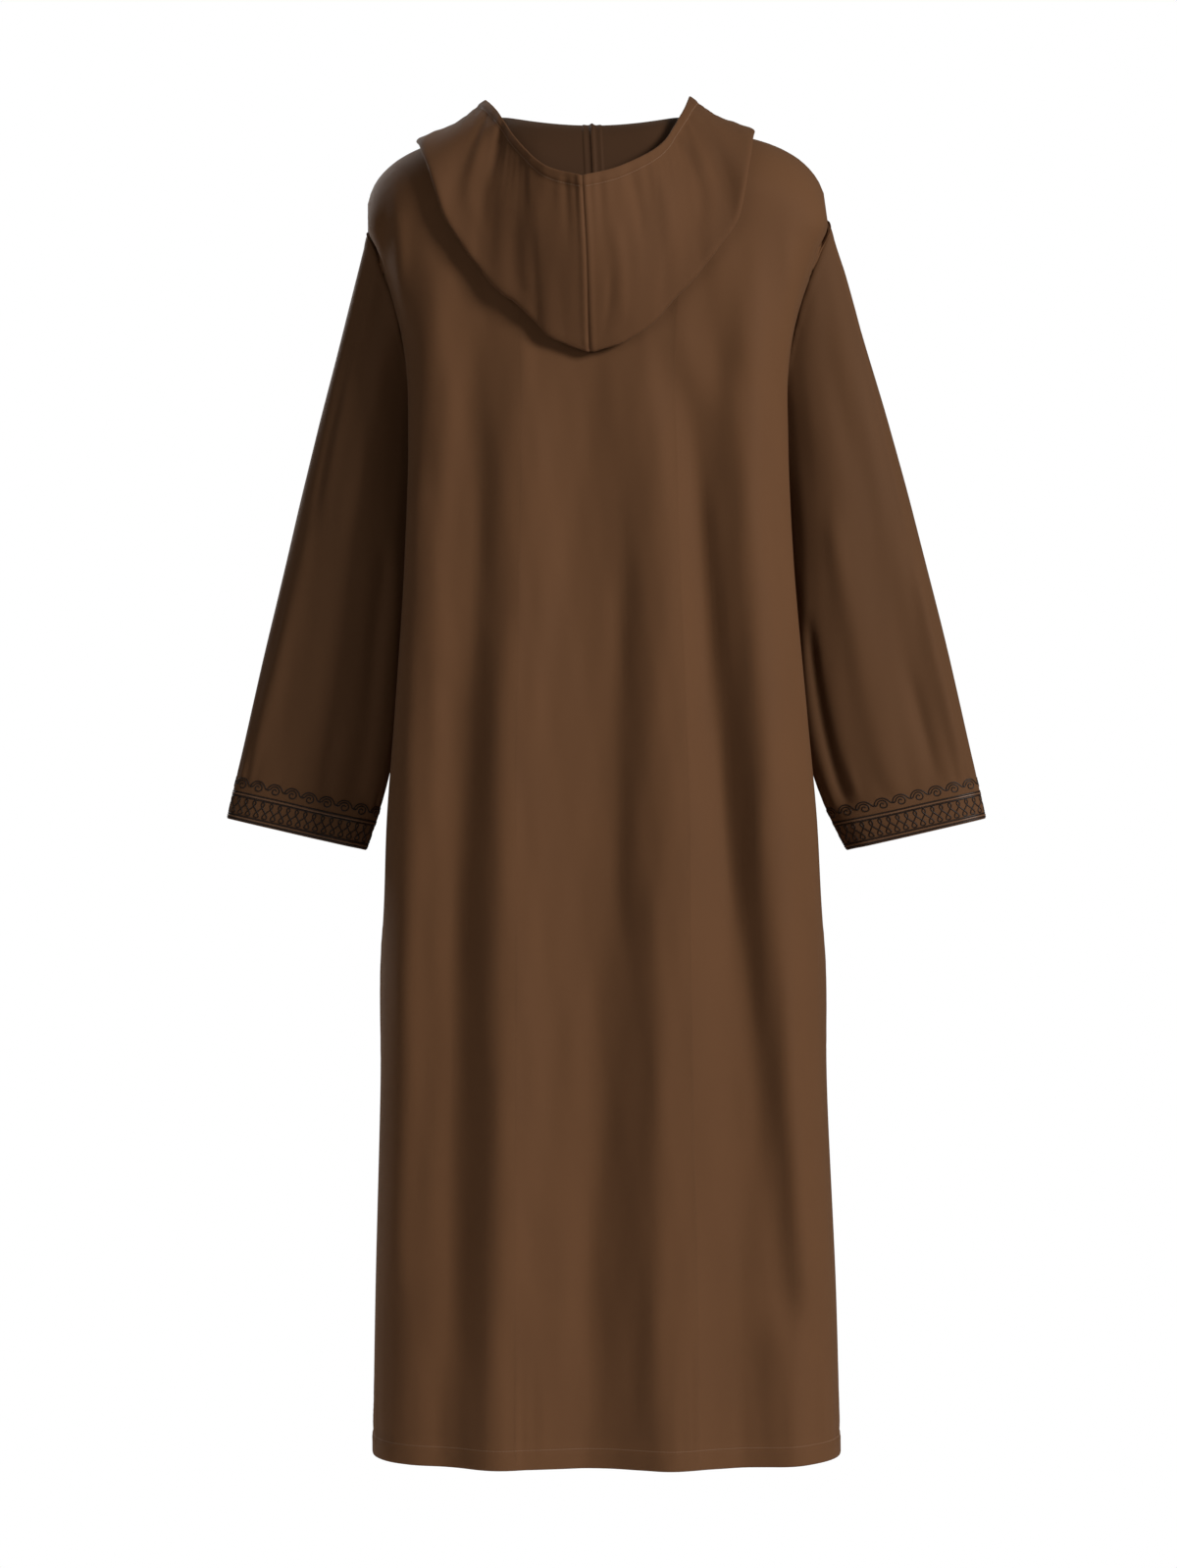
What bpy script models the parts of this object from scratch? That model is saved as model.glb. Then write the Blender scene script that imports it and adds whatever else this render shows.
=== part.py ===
"""A hooded djellaba robe, worn by nobody and filled out: two body panels, two set-in sleeves with embroidered
bands at their ends, and a two-piece hood that lies down on the back.

Metres, +Z up, front towards -Y, the wearer's left at +X. The origin is the middle of the neck, level with the
shoulders, where the wearer carries the robe. Every piece of cloth is a wall on a grid of points. Grids that are
sewn together share their seam points, so their walls are mitred there, and each wall stops short of the seam."""

import bmesh
import bpy
import numpy as np

# --- driving sizes -----------------------------------------------------------------------------------------------
WALL = 0.0015            # thickness of the cloth wall
SEAM_DRAW = 0.00021      # each sewn edge is drawn back from the seam line by this
NECK_HALF = 0.098        # half the width of the neck opening
NECK_BACK = 0.066        # how far the neck opening reaches back
NECK_FRONT = 0.078       # and forward
NECK_DROP_BACK = 0.016   # centre back of the neck below its sides
NECK_DROP_FRONT = 0.069  # centre front of the neck below its sides
NECK_LEVEL = 0.016       # sides of the neck below the origin
SHOULDER_HALF = 0.244    # centre line to the top of the sleeve seam
SHOULDER_SLOPE = 0.08    # fall of the shoulder seam, per metre out from the neck
SHOULDER_FALL = 0.0893   # further fall of its rounded end
SHOULDER_POWER = 2.7     # squareness of that rounding
SHOULDER_TILT = 0.006    # the left shoulder hangs lower by this, the right one higher
ARMHOLE_DEPTH = 0.228    # top of the sleeve seam to the underarm, straight down
ARMHOLE_TURN = 0.45      # share of that depth over which the seam turns from the shoulder to the back
ARMHOLE_ROUND = 0.05     # height of the short rows that hang from it
ARMHOLE_FADE = 0.06      # height over which the cloth under it leaves its curve
SECTION_POWER = 4.0      # squareness of the body's sections
TOP_HALF = 0.250         # half width that the sections have above the armholes
TOP_ROUND = 0.075        # height over which the cloth rounds over the shoulder
NECK_ROUND = 0.050       # and from the neck opening to the back
HEM_SIDE = 1.425         # hem below the origin at the side seams
HEM_DROP = 0.005         # how much lower it hangs at the centre
TUCK_REACH = 0.048       # how far the tuck under the arm reaches to front and back
FOLD_GROWTH = 0.16       # height over which a fold grows to its full size
FOLD_FREEDOM = 1.6       # folds are whole where the section is 1 / 1.6 as deep as at its middle, and fade beyond

SLEEVE_CAP = 0.45                 # share of its length over which the armhole's curve fades into its own rings
SLEEVE_OUT = (0.394, 0.751)       # outer corner of the sleeve end: out from the centre, below the origin
SLEEVE_IN = (0.246, 0.785)        # inner corner
SLEEVE_SPREAD_RIGHT = 0.026       # the right sleeve hangs this much further out at its end
SLEEVE_THICK_TOP = 0.046          # half the depth of the sleeve, front to back, at the armhole
SLEEVE_THICK_END = 0.027          # and at its end
SLEEVE_FORWARD = 0.016            # its end hangs this far forward
SLEEVE_POWER = 2.3                # squareness of its sections
SLEEVE_BOW_RIGHT = 0.009          # and its outer edge is bowed by this
SLEEVE_SAG = 0.014                # the underside hangs in towards the body, most just above the band
SLEEVE_SAG_RIGHT = 0.024          # and more on the right sleeve
SLEEVE_SAG_LOW = 2.2              # how low that is: 1 is half way down
BAND_WIDTH = 0.047                # embroidered band
BAND_WALL = 0.0010                # how far the embroidery stands up
BAND_GAP = 0.0003                 # between it and the sleeve

HOOD_GAP = 0.0050        # middle of the hood's inner layer over the robe
HOOD_STAND = 0.014       # the hood rises this far from the neck seam before it rolls over
HOOD_FOLD = 0.011        # middle of its folded edge over the robe
HOOD_OUTER = 0.019       # outer layer over the robe, just above the folded edge
HOOD_FLAT = (0.50, 0.15) # station and width of the place, over the shoulder, where the hood lies flat
HOOD_FLAT_LAYERS = 0.45  # its fold and outer layer are this share lower there
HOOD_FLAT_GAP = 0.10     # and its inner layer this share
HOOD_LOFT = 0.0050       # every layer stands off this much more where it bends over the back of the shoulder
HOOD_BILLOW = 0.014      # the outer layer swells out by this between fold and rim, most at centre back
BILLOW_END = (0.33, 0.18)  # station where the swell starts to go, and how soon it has gone
BILLOW_TURN = 1.3        # beyond there it draws in, by the part of this over 1
HOOD_CALM = (0.6, 0.45)  # from this station on, the stand and spread get less, by up to this share at the front
LOW_SHARE = 0.94         # the outer layer starts above the folded edge, at this share of the way to it
TURN_SHARE = 0.95        # the inner layer starts to turn at this share
SWELL_SHARE = 0.6        # the swell stands off the robe in the direction found this share of the way over
LEAST_REACH = 0.00001    # keeps a place on the back off the shoulder line itself
HOOD_SWING = 0.013       # its rim hangs this far to the left at centre back
HOOD_SPREAD = 0.0006     # near the seam the inner layer still stands up, by this over the share laid down
HOOD_TURN_GAP = 0.0060   # inner layer over the robe, just before the folded edge
LAID_SHARES = (0.12, 0.28, 0.52, 0.78)  # shares of the way to the folded edge where the inner layer has knots
HOOD_BENDS = ((0.44, 0.09, 1.0), (0.76, 0.12, 0.6))  # station, width and size of each place that has the loft

# --- how finely the grids are divided ----------------------------------------------------------------------------
NECK_STEPS = 8
SHOULDER_STEPS = 6
ARMHOLE_STEPS = 8
CAP_STEPS = 3
FALL_STEPS = 11
SLEEVE_ROWS = 11
HOOD_ROWS = 18
SHOULDER_SPACING = 0.85  # columns of the shoulder get closer together outwards
FALL_SPACING = 1.12      # rows of the body get further apart downwards
EVEN_FROM = 3            # from this column of the armhole on, rows are spaced evenly

# --- the body's sections: drop below the origin, half width, depth behind and before, tuck under the arm, lean ------
SECTIONS = np.array(
    [
        # drop   half   back   front  tuck   lean
        [0.000, 0.250, 0.092, 0.084, 0.000, 0.005],
        [0.100, 0.252, 0.106, 0.100, 0.000, -0.002],
        [0.122, 0.251, 0.109, 0.104, 0.000, -0.003],
        [0.145, 0.240, 0.112, 0.109, 0.000, -0.003],
        [0.190, 0.222, 0.116, 0.116, 0.002, -0.003],
        [0.260, 0.208, 0.120, 0.124, 0.008, -0.003],
        [0.345, 0.209, 0.122, 0.126, 0.026, -0.004],
        [0.480, 0.216, 0.122, 0.125, 0.040, -0.005],
        [0.640, 0.228, 0.123, 0.124, 0.036, -0.007],
        [0.760, 0.235, 0.124, 0.124, 0.018, -0.008],
        [0.860, 0.234, 0.126, 0.126, 0.000, -0.009],
        [1.050, 0.238, 0.130, 0.130, 0.000, -0.010],
        [1.250, 0.245, 0.135, 0.134, 0.000, -0.012],
        [1.440, 0.249, 0.139, 0.138, 0.000, -0.013],
    ]
)
SECTION_COLUMNS = ("drop", "half", "back", "front", "tuck", "lean")

# --- the large folds: drop where one starts, its place across at the top and at the hem, width, height top and hem --
BACK_FOLDS = np.array(
    [
        # start top_x  hem_x  width  top_rise hem_rise
        [0.10, 0.176, 0.205, 0.034, 0.009, 0.002],
        [0.12, 0.116, 0.150, 0.034, -0.007, -0.010],
        [0.20, 0.084, 0.105, 0.030, 0.005, 0.016],
        [0.20, 0.006, 0.010, 0.040, -0.005, -0.015],
        [0.22, -0.070, -0.082, 0.034, 0.003, 0.016],
        [0.14, -0.124, -0.160, 0.028, -0.010, -0.011],
        [0.12, -0.164, -0.225, 0.032, 0.010, 0.008],
    ]
)
FRONT_FOLDS = np.array(
    [
        # start top_x  hem_x  width  top_rise hem_rise
        [0.12, 0.172, 0.200, 0.034, 0.008, 0.004],
        [0.16, 0.118, 0.128, 0.034, -0.006, -0.012],
        [0.20, 0.062, 0.058, 0.034, 0.004, 0.015],
        [0.24, -0.004, -0.010, 0.042, -0.004, -0.013],
        [0.20, -0.070, -0.090, 0.034, 0.005, 0.015],
        [0.16, -0.122, -0.150, 0.030, -0.008, -0.011],
        [0.12, -0.168, -0.222, 0.034, 0.008, 0.006],
    ]
)

# --- the hood, from centre back (station 0) over the side of the neck (0.5) to centre front (1) ---------------------
# fold_x, fold_over: where its folded edge lies, out from the centre, and over the shoulder: above 0, length of cloth
# from the shoulder line down the back; below 0, how far forward of the origin. rim: edge of the face opening.
HOOD_COLUMNS = ("station", "fold_x", "fold_over", "rim_x", "rim_y", "rim_z")
HOOD_LEFT = np.array(
    [
        [0.00, 0.000, 0.260, 0.000, 0.164, -0.084],
        [0.14, 0.058, 0.247, 0.044, 0.144, -0.069],
        [0.26, 0.108, 0.228, 0.078, 0.108, -0.036],
        [0.38, 0.150, 0.160, 0.101, 0.064, -0.003],
        [0.50, 0.183, 0.018, 0.116, 0.012, 0.016],
        [0.66, 0.158, -0.062, 0.108, -0.036, 0.012],
        [0.84, 0.084, -0.084, 0.068, -0.080, -0.030],
        [1.00, 0.000, -0.092, 0.000, -0.102, -0.074],
    ]
)
HOOD_RIGHT = np.array(
    [
        [0.00, 0.000, 0.260, 0.000, 0.164, -0.084],
        [0.14, 0.048, 0.250, 0.040, 0.150, -0.071],
        [0.26, 0.098, 0.232, 0.076, 0.118, -0.045],
        [0.38, 0.142, 0.160, 0.094, 0.066, -0.006],
        [0.50, 0.171, 0.018, 0.102, 0.012, 0.020],
        [0.66, 0.150, -0.062, 0.100, -0.036, 0.014],
        [0.84, 0.082, -0.084, 0.064, -0.080, -0.030],
        [1.00, 0.000, -0.092, 0.000, -0.102, -0.074],
    ]
)

CLOTH_BROWN = (0.090, 0.044, 0.022, 1.0)
THREAD_BROWN = (0.030, 0.013, 0.007, 1.0)

LEFT, RIGHT = 1.0, -1.0
BACK, FRONT = 1.0, -1.0


# --- curves ----------------------------------------------------------------------------------------------------------
def through(levels, values, at):
    """Smooth curve through a table's rows: cubic pieces whose slope at a row is the slope between its neighbours."""
    at = np.clip(at, levels[0], levels[-1])
    slopes = np.gradient(values, levels)
    i = np.clip(np.searchsorted(levels, at, side="right") - 1, 0, len(levels) - 2)
    step = levels[i + 1] - levels[i]
    t = (at - levels[i]) / step
    return (
        values[i] * (1 + 2 * t) * (1 - t) ** 2
        + values[i + 1] * t * t * (3 - 2 * t)
        + step * (slopes[i] * t * (1 - t) ** 2 - slopes[i + 1] * t * t * (1 - t))
    )


def section_size(name, drop):
    """One column of SECTIONS at the drops asked for."""
    return through(SECTIONS[:, 0], SECTIONS[:, SECTION_COLUMNS.index(name)], drop)


def hood_size(table, name, station):
    """One column of a hood table at the stations asked for."""
    return through(table[:, 0], table[:, HOOD_COLUMNS.index(name)], station)


def ease(t):
    """0 to 1 with level ends."""
    t = np.clip(t, 0.0, 1.0)
    return t * t * (3 - 2 * t)


def quarter(t):
    """A quarter circle: rises from 0 at once and levels off at 1."""
    return np.sqrt(1 - (1 - np.clip(t, 0.0, 1.0)) ** 2)


# --- the body's surface ----------------------------------------------------------------------------------------------
NECK_SHARE = NECK_HALF / TOP_HALF
TIP_SHARE = SHOULDER_HALF / TOP_HALF


def crest(share, side, face):
    """Height of the top edge of a body panel, at a share of the half width: neck opening, then shoulder seam."""
    inner = np.clip(1 - (share / NECK_SHARE) ** 2, 0, 1)
    neck_drop = NECK_DROP_BACK if face == BACK else NECK_DROP_FRONT
    out = np.clip((share - NECK_SHARE) / (TIP_SHARE - NECK_SHARE), 0, 1)
    rounding = 1 - (1 - out**SHOULDER_POWER) ** (1 / SHOULDER_POWER)
    fall = SHOULDER_SLOPE * TOP_HALF * np.clip(share - NECK_SHARE, 0, None) + SHOULDER_FALL * rounding
    return -NECK_LEVEL - neck_drop * inner - fall - side * SHOULDER_TILT * out


def crest_depth(share, face):
    """How far back or forward the top edge of a panel lies: the neck opening is an ellipse, the shoulder is level."""
    inner = np.sqrt(np.clip(1 - (share / NECK_SHARE) ** 2, 0, 1))
    return face * (NECK_BACK if face == BACK else NECK_FRONT) * inner


def fold_height(table, x, drop):
    """How far the large folds stand out: each is a soft ridge or trough that starts at its own height."""
    height = np.zeros(np.broadcast(x, drop).shape)
    for start, top_x, hem_x, width, top_rise, hem_rise in table:
        down = np.clip((drop - start) / (HEM_SIDE - start), 0, 1)
        middle = top_x + (hem_x - top_x) * down
        rise = (top_rise + (hem_rise - top_rise) * down) * ease((drop - start) / FOLD_GROWTH)
        height = height + rise * np.exp(-(((x - middle) / width) ** 2))
    return height


def hang(share, side, face, drop):
    """A point of the hanging cloth: a squarish ellipse at each height, tucked in under the arm, with its folds."""
    half = section_size("half", drop)
    depth = section_size("back" if face == BACK else "front", drop)
    across = np.clip(share, 0, 1)
    deep = (1 - across**SECTION_POWER) ** (1 / SECTION_POWER)
    y = depth * deep
    x = half * across - section_size("tuck", drop) * np.exp(-((y / TUCK_REACH) ** 2))
    x = section_size("lean", drop) + side * x
    folds = fold_height(BACK_FOLDS if face == BACK else FRONT_FOLDS, x, drop) * ease(deep * FOLD_FREEDOM)
    return x, face * (y + folds)


def body_point(share, side, face, below):
    """A point of a body panel, the given height below its top edge: it rounds over the shoulder, then hangs."""
    share = np.asarray(share, float)
    top = crest(share, side, face)
    drop = below - top
    x, y = hang(share, side, face, drop)
    neck = np.clip(1 - share / NECK_SHARE, 0, 1)
    rounding = TOP_ROUND + (NECK_ROUND - TOP_ROUND) * ease(2 * neck)
    start = crest_depth(share, face)
    return np.stack([x, start + (y - start) * quarter(below / rounding), -drop + 0 * x], axis=-1)


def body_normal(share, side, face, below):
    """Outward direction of the body panel at that point."""
    tiny = 1e-4
    below = np.maximum(below, 2e-4)
    across = body_point(share + tiny, side, face, below) - body_point(share - tiny, side, face, below)
    down = body_point(share, side, face, below + tiny) - body_point(share, side, face, below - tiny)
    out = np.cross(across, down) * side * face
    return out / np.linalg.norm(out, axis=-1, keepdims=True)


def panel_shares():
    """Places of a half panel's columns from the centre out: neck, shoulder and armhole columns."""
    neck = NECK_SHARE * np.sin(np.linspace(0, np.pi / 2, NECK_STEPS + 1))
    shoulder = NECK_SHARE + (TIP_SHARE - NECK_SHARE) * np.linspace(0, 1, SHOULDER_STEPS + 1)[1:] ** SHOULDER_SPACING
    tip_depth = (1 - TIP_SHARE**SECTION_POWER) ** (1 / SECTION_POWER)
    deep = tip_depth * (1 - np.linspace(0, 1, ARMHOLE_STEPS + 1)[1:])
    armhole = (1 - deep**SECTION_POWER) ** (1 / SECTION_POWER)
    return neck, shoulder, armhole


def armhole_curve(side, face):
    """Points of the armhole edge, from the top of the sleeve seam to the underarm."""
    _, _, shares = panel_shares()
    down = (1 - np.cos(np.linspace(0, np.pi, ARMHOLE_STEPS + 1))) / 2
    tip = body_point(np.array([TIP_SHARE]), side, face, 0.0)[0]
    drop = -tip[2] + ARMHOLE_DEPTH * down[1:]
    x, y = hang(shares, side, face, drop)
    points = np.stack([x, y * quarter(down[1:] / ARMHOLE_TURN), -drop], axis=1)
    return np.concatenate([tip[None], points])


def half_panel(side, face):
    """Grid of a half panel: rows from the top edge to the hem, columns from the centre to the side seam."""
    neck, shoulder, armhole = panel_shares()
    turn = np.linspace(0, np.pi / 2, CAP_STEPS + 1)
    fall = np.linspace(0, 1, FALL_STEPS + 1)[1:] ** FALL_SPACING
    columns = []
    for share in np.concatenate([neck, shoulder]):
        top = crest(share, side, face)
        rounding = NECK_ROUND + (TOP_ROUND - NECK_ROUND) * min(1.0, share / NECK_SHARE)
        below = rounding * (1 - np.cos(turn))
        hem = HEM_SIDE + HEM_DROP * (1 - share**4) + top
        below = np.concatenate([below, below[-1] + (hem - below[-1]) * fall])
        columns.append(body_point(np.full(len(below), share), side, face, below))
    edge = armhole_curve(side, face)[1:]
    for number, (share, start) in enumerate(zip(armhole, edge, strict=True), 1):
        length = HEM_SIDE + HEM_DROP * (1 - share**4) + start[2]
        below = ARMHOLE_ROUND * (1 - np.cos(turn))
        below = np.concatenate([below, below[-1] + (length - below[-1]) * fall])
        evenly = min(1.0, number / EVEN_FROM)
        below += (length * np.linspace(0, 1, len(below)) - below) * evenly
        x, y = hang(np.full(len(below), share), side, face, below - start[2])
        column = np.stack([x, y, start[2] - below], axis=1)
        column += (start - column[0]) * (1 - ease(below / ARMHOLE_FADE))[:, None]
        columns.append(column)
    return np.stack(columns, axis=1)


def body_panel(face):
    """Grid of the whole back or front, from the right side seam to the left one."""
    right, left = half_panel(RIGHT, face), half_panel(LEFT, face)
    return np.concatenate([right[:, :0:-1], left], axis=1)


# --- the sleeves -----------------------------------------------------------------------------------------------------
def sleeve(side):
    """Grid of a sleeve: rings from the armhole to the cuff, each from the underarm round the back and over the top."""
    back, front = armhole_curve(side, BACK), armhole_curve(side, FRONT)
    ring = np.concatenate([back[:0:-1], front[:-1]])
    top, under = back[0], back[-1]
    spread, bow, sag = 0.0, 0.0, SLEEVE_SAG
    if side == RIGHT:
        spread, bow, sag = SLEEVE_SPREAD_RIGHT, SLEEVE_BOW_RIGHT, SLEEVE_SAG_RIGHT
    end_out = np.array([side * (SLEEVE_OUT[0] + spread), 0, -SLEEVE_OUT[1]])
    end_in = np.array([side * (SLEEVE_IN[0] + spread), 0, -SLEEVE_IN[1]])
    turn = np.linspace(0, 2 * np.pi, 2 * ARMHOLE_STEPS + 1)[:-1]
    along = np.sign(np.cos(turn)) * np.abs(np.cos(turn)) ** (2 / SLEEVE_POWER)
    deep = np.sign(np.sin(turn)) * np.abs(np.sin(turn)) ** (2 / SLEEVE_POWER)

    def tube(t):
        """The ring whose points lie at these shares of the sleeve's length, one share for each column."""
        t = t[:, None]
        forward = -SLEEVE_FORWARD * t * t
        bowed = side * bow * np.sin(np.pi * t)
        sagged = -side * sag * np.sin(np.pi * t**SLEEVE_SAG_LOW)
        outer = top + (end_out - top) * t + np.concatenate([bowed, forward, 0 * t], axis=1)
        inner = under + (end_in - under) * t + np.concatenate([sagged, forward, 0 * t], axis=1)
        thick = SLEEVE_THICK_TOP + (SLEEVE_THICK_END - SLEEVE_THICK_TOP) * ease(t)
        middle, half = (outer + inner) / 2, (inner - outer) / 2
        return middle + along[:, None] * half + np.concatenate([0 * t, deep[:, None] * thick, 0 * t], axis=1)

    start, end = tube(np.zeros_like(turn)), tube(np.ones_like(turn))
    band = BAND_WIDTH / np.linalg.norm(end - ring, axis=1)
    rings = []
    for row in np.append(np.linspace(0, 1, SLEEVE_ROWS), np.inf):
        t = np.minimum(row * (1 - band), 1.0)
        rings.append(tube(t) + (ring - start) * (1 - ease(t / SLEEVE_CAP))[:, None])
    return np.stack(rings)


# --- the hood --------------------------------------------------------------------------------------------------------
def spline(knots, rows):
    """Smooth curve through knots (columns, knots, 3) at the given knot positions (Catmull-Rom)."""
    padded = np.concatenate([2 * knots[:, :1] - knots[:, 1:2], knots, 2 * knots[:, -1:] - knots[:, -2:-1]], axis=1)
    i = np.minimum(rows.astype(int), knots.shape[1] - 2)
    t = (rows - i)[None, :, None]
    a, b, c, d = (padded[:, i + k] for k in range(4))
    return 0.5 * (2 * b + (c - a) * t + (2 * a - 5 * b + 4 * c - d) * t**2 + (3 * b - a - 3 * c + d) * t**3)


def laid_back(share, side, over, height):
    """Points at a height over the back, so far over the shoulder along the cloth."""
    neck = np.clip(1 - share / NECK_SHARE, 0, 1)
    radius = TOP_ROUND + (NECK_ROUND - TOP_ROUND) * ease(2 * neck)
    turn = np.minimum(over / radius, np.pi / 2)
    below = radius * (1 - np.cos(turn)) + np.maximum(over - radius * np.pi / 2, 0)
    return body_point(share, side, BACK, below) + body_normal(share, side, BACK, below) * height


def laid_front(share, side, depth, height):
    """Points at a height over the front, so far forward of the origin; how far down that is comes by halving."""
    low, high = np.zeros_like(share), np.full_like(share, TOP_ROUND)
    for _ in range(24):
        middle = (low + high) / 2
        short = body_point(share, side, FRONT, middle)[:, 1] > -depth
        low, high = np.where(short, middle, low), np.where(short, high, middle)
    lean = np.clip(depth / section_size("front", 0.0), 0, 1)
    out = np.stack([0 * lean, -lean, np.sqrt(1 - lean**2)], axis=1)
    return body_point(share, side, FRONT, low) + out * height


def hood_knots(side):
    """Knots of a hood panel, one row for each station round the neck: seam, stand, inner layer, fold, outer layer."""
    table = HOOD_LEFT if side == LEFT else HOOD_RIGHT
    neck, _, _ = panel_shares()
    shares = np.concatenate([neck, neck[-2::-1]])
    station = np.linspace(0, 1, len(shares))
    back = station <= 0.5
    seam = np.empty((len(shares), 3))
    for face, here in ((BACK, back), (FRONT, ~back)):
        seam[here] = body_point(shares[here], side, face, np.zeros(here.sum()))
    fold_share = hood_size(table, "fold_x", station) / TOP_HALF
    fold_over = hood_size(table, "fold_over", station)
    begin = np.where(back, 0.0, seam[:, 1])

    bends = sum(size * np.exp(-(((station - place) / width) ** 2)) for place, width, size in HOOD_BENDS)
    loft = HOOD_LOFT * bends[:, None]

    def over(q, height, whole=1.0):
        share = shares + (fold_share - shares) * q
        reach = begin + (fold_over * whole - begin) * q
        height = height + loft * min(1, q * 2)
        points = laid_back(share, side, np.maximum(reach, LEAST_REACH), height)
        points[~back] = laid_front(share, side, -reach, height)[~back]
        return points

    rim = np.stack([hood_size(table, name, station) for name in ("rim_x", "rim_y", "rim_z")], axis=1)
    rim[:, 0] *= side
    calm = 1 - HOOD_CALM[1] * ease((station - HOOD_CALM[0]) / (1 - HOOD_CALM[0]))[:, None]
    billow = HOOD_BILLOW * (1 - BILLOW_TURN * ease((station - BILLOW_END[0]) / BILLOW_END[1]))[:, None]
    lie = np.exp(-(((station - HOOD_FLAT[0]) / HOOD_FLAT[1]) ** 2))[:, None]
    layers, gap = 1 - HOOD_FLAT_LAYERS * lie, 1 - HOOD_FLAT_GAP * lie
    low = over(LOW_SHARE, HOOD_OUTER * layers)
    swell = over(1.0, 1.0, SWELL_SHARE) - over(1.0, 0.0, SWELL_SHARE)
    stand = seam + np.array([0, 0, HOOD_STAND]) * calm
    middle = (low + rim) / 2 + swell * billow
    laid_down = [over(q, HOOD_GAP * gap + HOOD_SPREAD / q * calm) for q in LAID_SHARES]
    turned = [over(TURN_SHARE, HOOD_TURN_GAP * gap), over(1.0, HOOD_FOLD * layers)]
    knots = np.stack([seam, stand, *laid_down, *turned, low, middle, rim], axis=1)
    swing = np.linspace(0, 1, knots.shape[1]) ** 2
    knots[:, :, 0] += HOOD_SWING * (1 - ease(station / 0.5))[:, None] * swing
    return knots


def hood(side):
    """Grid of a hood panel: rows from the neck seam to the rim, columns from centre back to centre front."""
    knots = hood_knots(side)
    rows = np.linspace(0, knots.shape[1] - 1, HOOD_ROWS + 1)
    return spline(knots, rows).transpose(1, 0, 2)


# --- walls -----------------------------------------------------------------------------------------------------------
def grid_faces(rows, columns, wrapped):
    """Corner numbers of a grid's quads."""
    i, j = np.meshgrid(np.arange(rows - 1), np.arange(columns if wrapped else columns - 1), indexing="ij")
    k = (j + 1) % columns
    return np.stack([i * columns + j, (i + 1) * columns + j, (i + 1) * columns + k, i * columns + k], -1).reshape(-1, 4)


def face_normals(points, faces):
    """Outward normals of quads, as long as twice their area."""
    a, b, c, d = (points[faces[:, n]] for n in range(4))
    return np.cross(d - b, c - a)


class Piece:
    """One piece of cloth: its part of the robe, its grid, whether that closes into a tube and faces inwards."""

    def __init__(self, name, part, grid, wrapped=False, flipped=False):
        self.name, self.part, self.grid, self.wrapped = name, part, grid, wrapped
        self.faces = grid_faces(*grid.shape[:2], wrapped)
        if flipped:
            self.faces = self.faces[:, ::-1]
        self.points = grid.reshape(-1, 3)


def shared_normals(pieces):
    """Normals at every grid point. On a seam the body, a sleeve or the hood has one, and they share the one between."""
    points = np.concatenate([p.points for p in pieces])
    _, place = np.unique(np.round(points / 1e-6).astype(np.int64), axis=0, return_inverse=True)
    place = place.reshape(-1)
    counts = np.cumsum([0] + [len(p.points) for p in pieces])
    total = np.zeros((place.max() + 1, 3))
    for part in ("body", "sleeve_left", "sleeve_right", "hood"):
        own = np.zeros_like(total)
        for p, first in zip(pieces, counts, strict=False):
            if p.part == part:
                for n in range(4):
                    np.add.at(own, place[first + p.faces[:, n]], face_normals(p.points, p.faces))
        length = np.linalg.norm(own, axis=1, keepdims=True)
        total += own / np.where(length > 0, length, 1)
    normals = total[place]
    normals /= np.linalg.norm(normals, axis=1, keepdims=True)
    return [normals[a:b] for a, b in zip(counts[:-1], counts[1:], strict=True)]


def drawn_back(grid, normals, wrapped, rows, columns):
    """The grid with the chosen edges moved into the piece, square to the edge, so that sewn pieces stay apart."""
    grid = grid.copy()

    def move(edge, inner, out, closed=False):
        ahead = np.roll(edge, -1, axis=0) if closed else np.concatenate([edge[1:], edge[-1:]])
        behind = np.roll(edge, 1, axis=0) if closed else np.concatenate([edge[:1], edge[:-1]])
        square = np.cross(ahead - behind, out)
        square /= np.linalg.norm(square, axis=1, keepdims=True)
        inwards = np.sign((square * (inner - edge)).sum())
        return edge + square * inwards * SEAM_DRAW

    if rows[0]:
        grid[0] = move(grid[0], grid[1], normals[0], wrapped)
    if rows[1]:
        grid[-1] = move(grid[-1], grid[-2], normals[-1], wrapped)
    if columns[0]:
        grid[:, 0] = move(grid[:, 0], grid[:, 1], normals[:, 0])
    if columns[1]:
        grid[:, -1] = move(grid[:, -1], grid[:, -2], normals[:, -1])
    return grid


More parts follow.
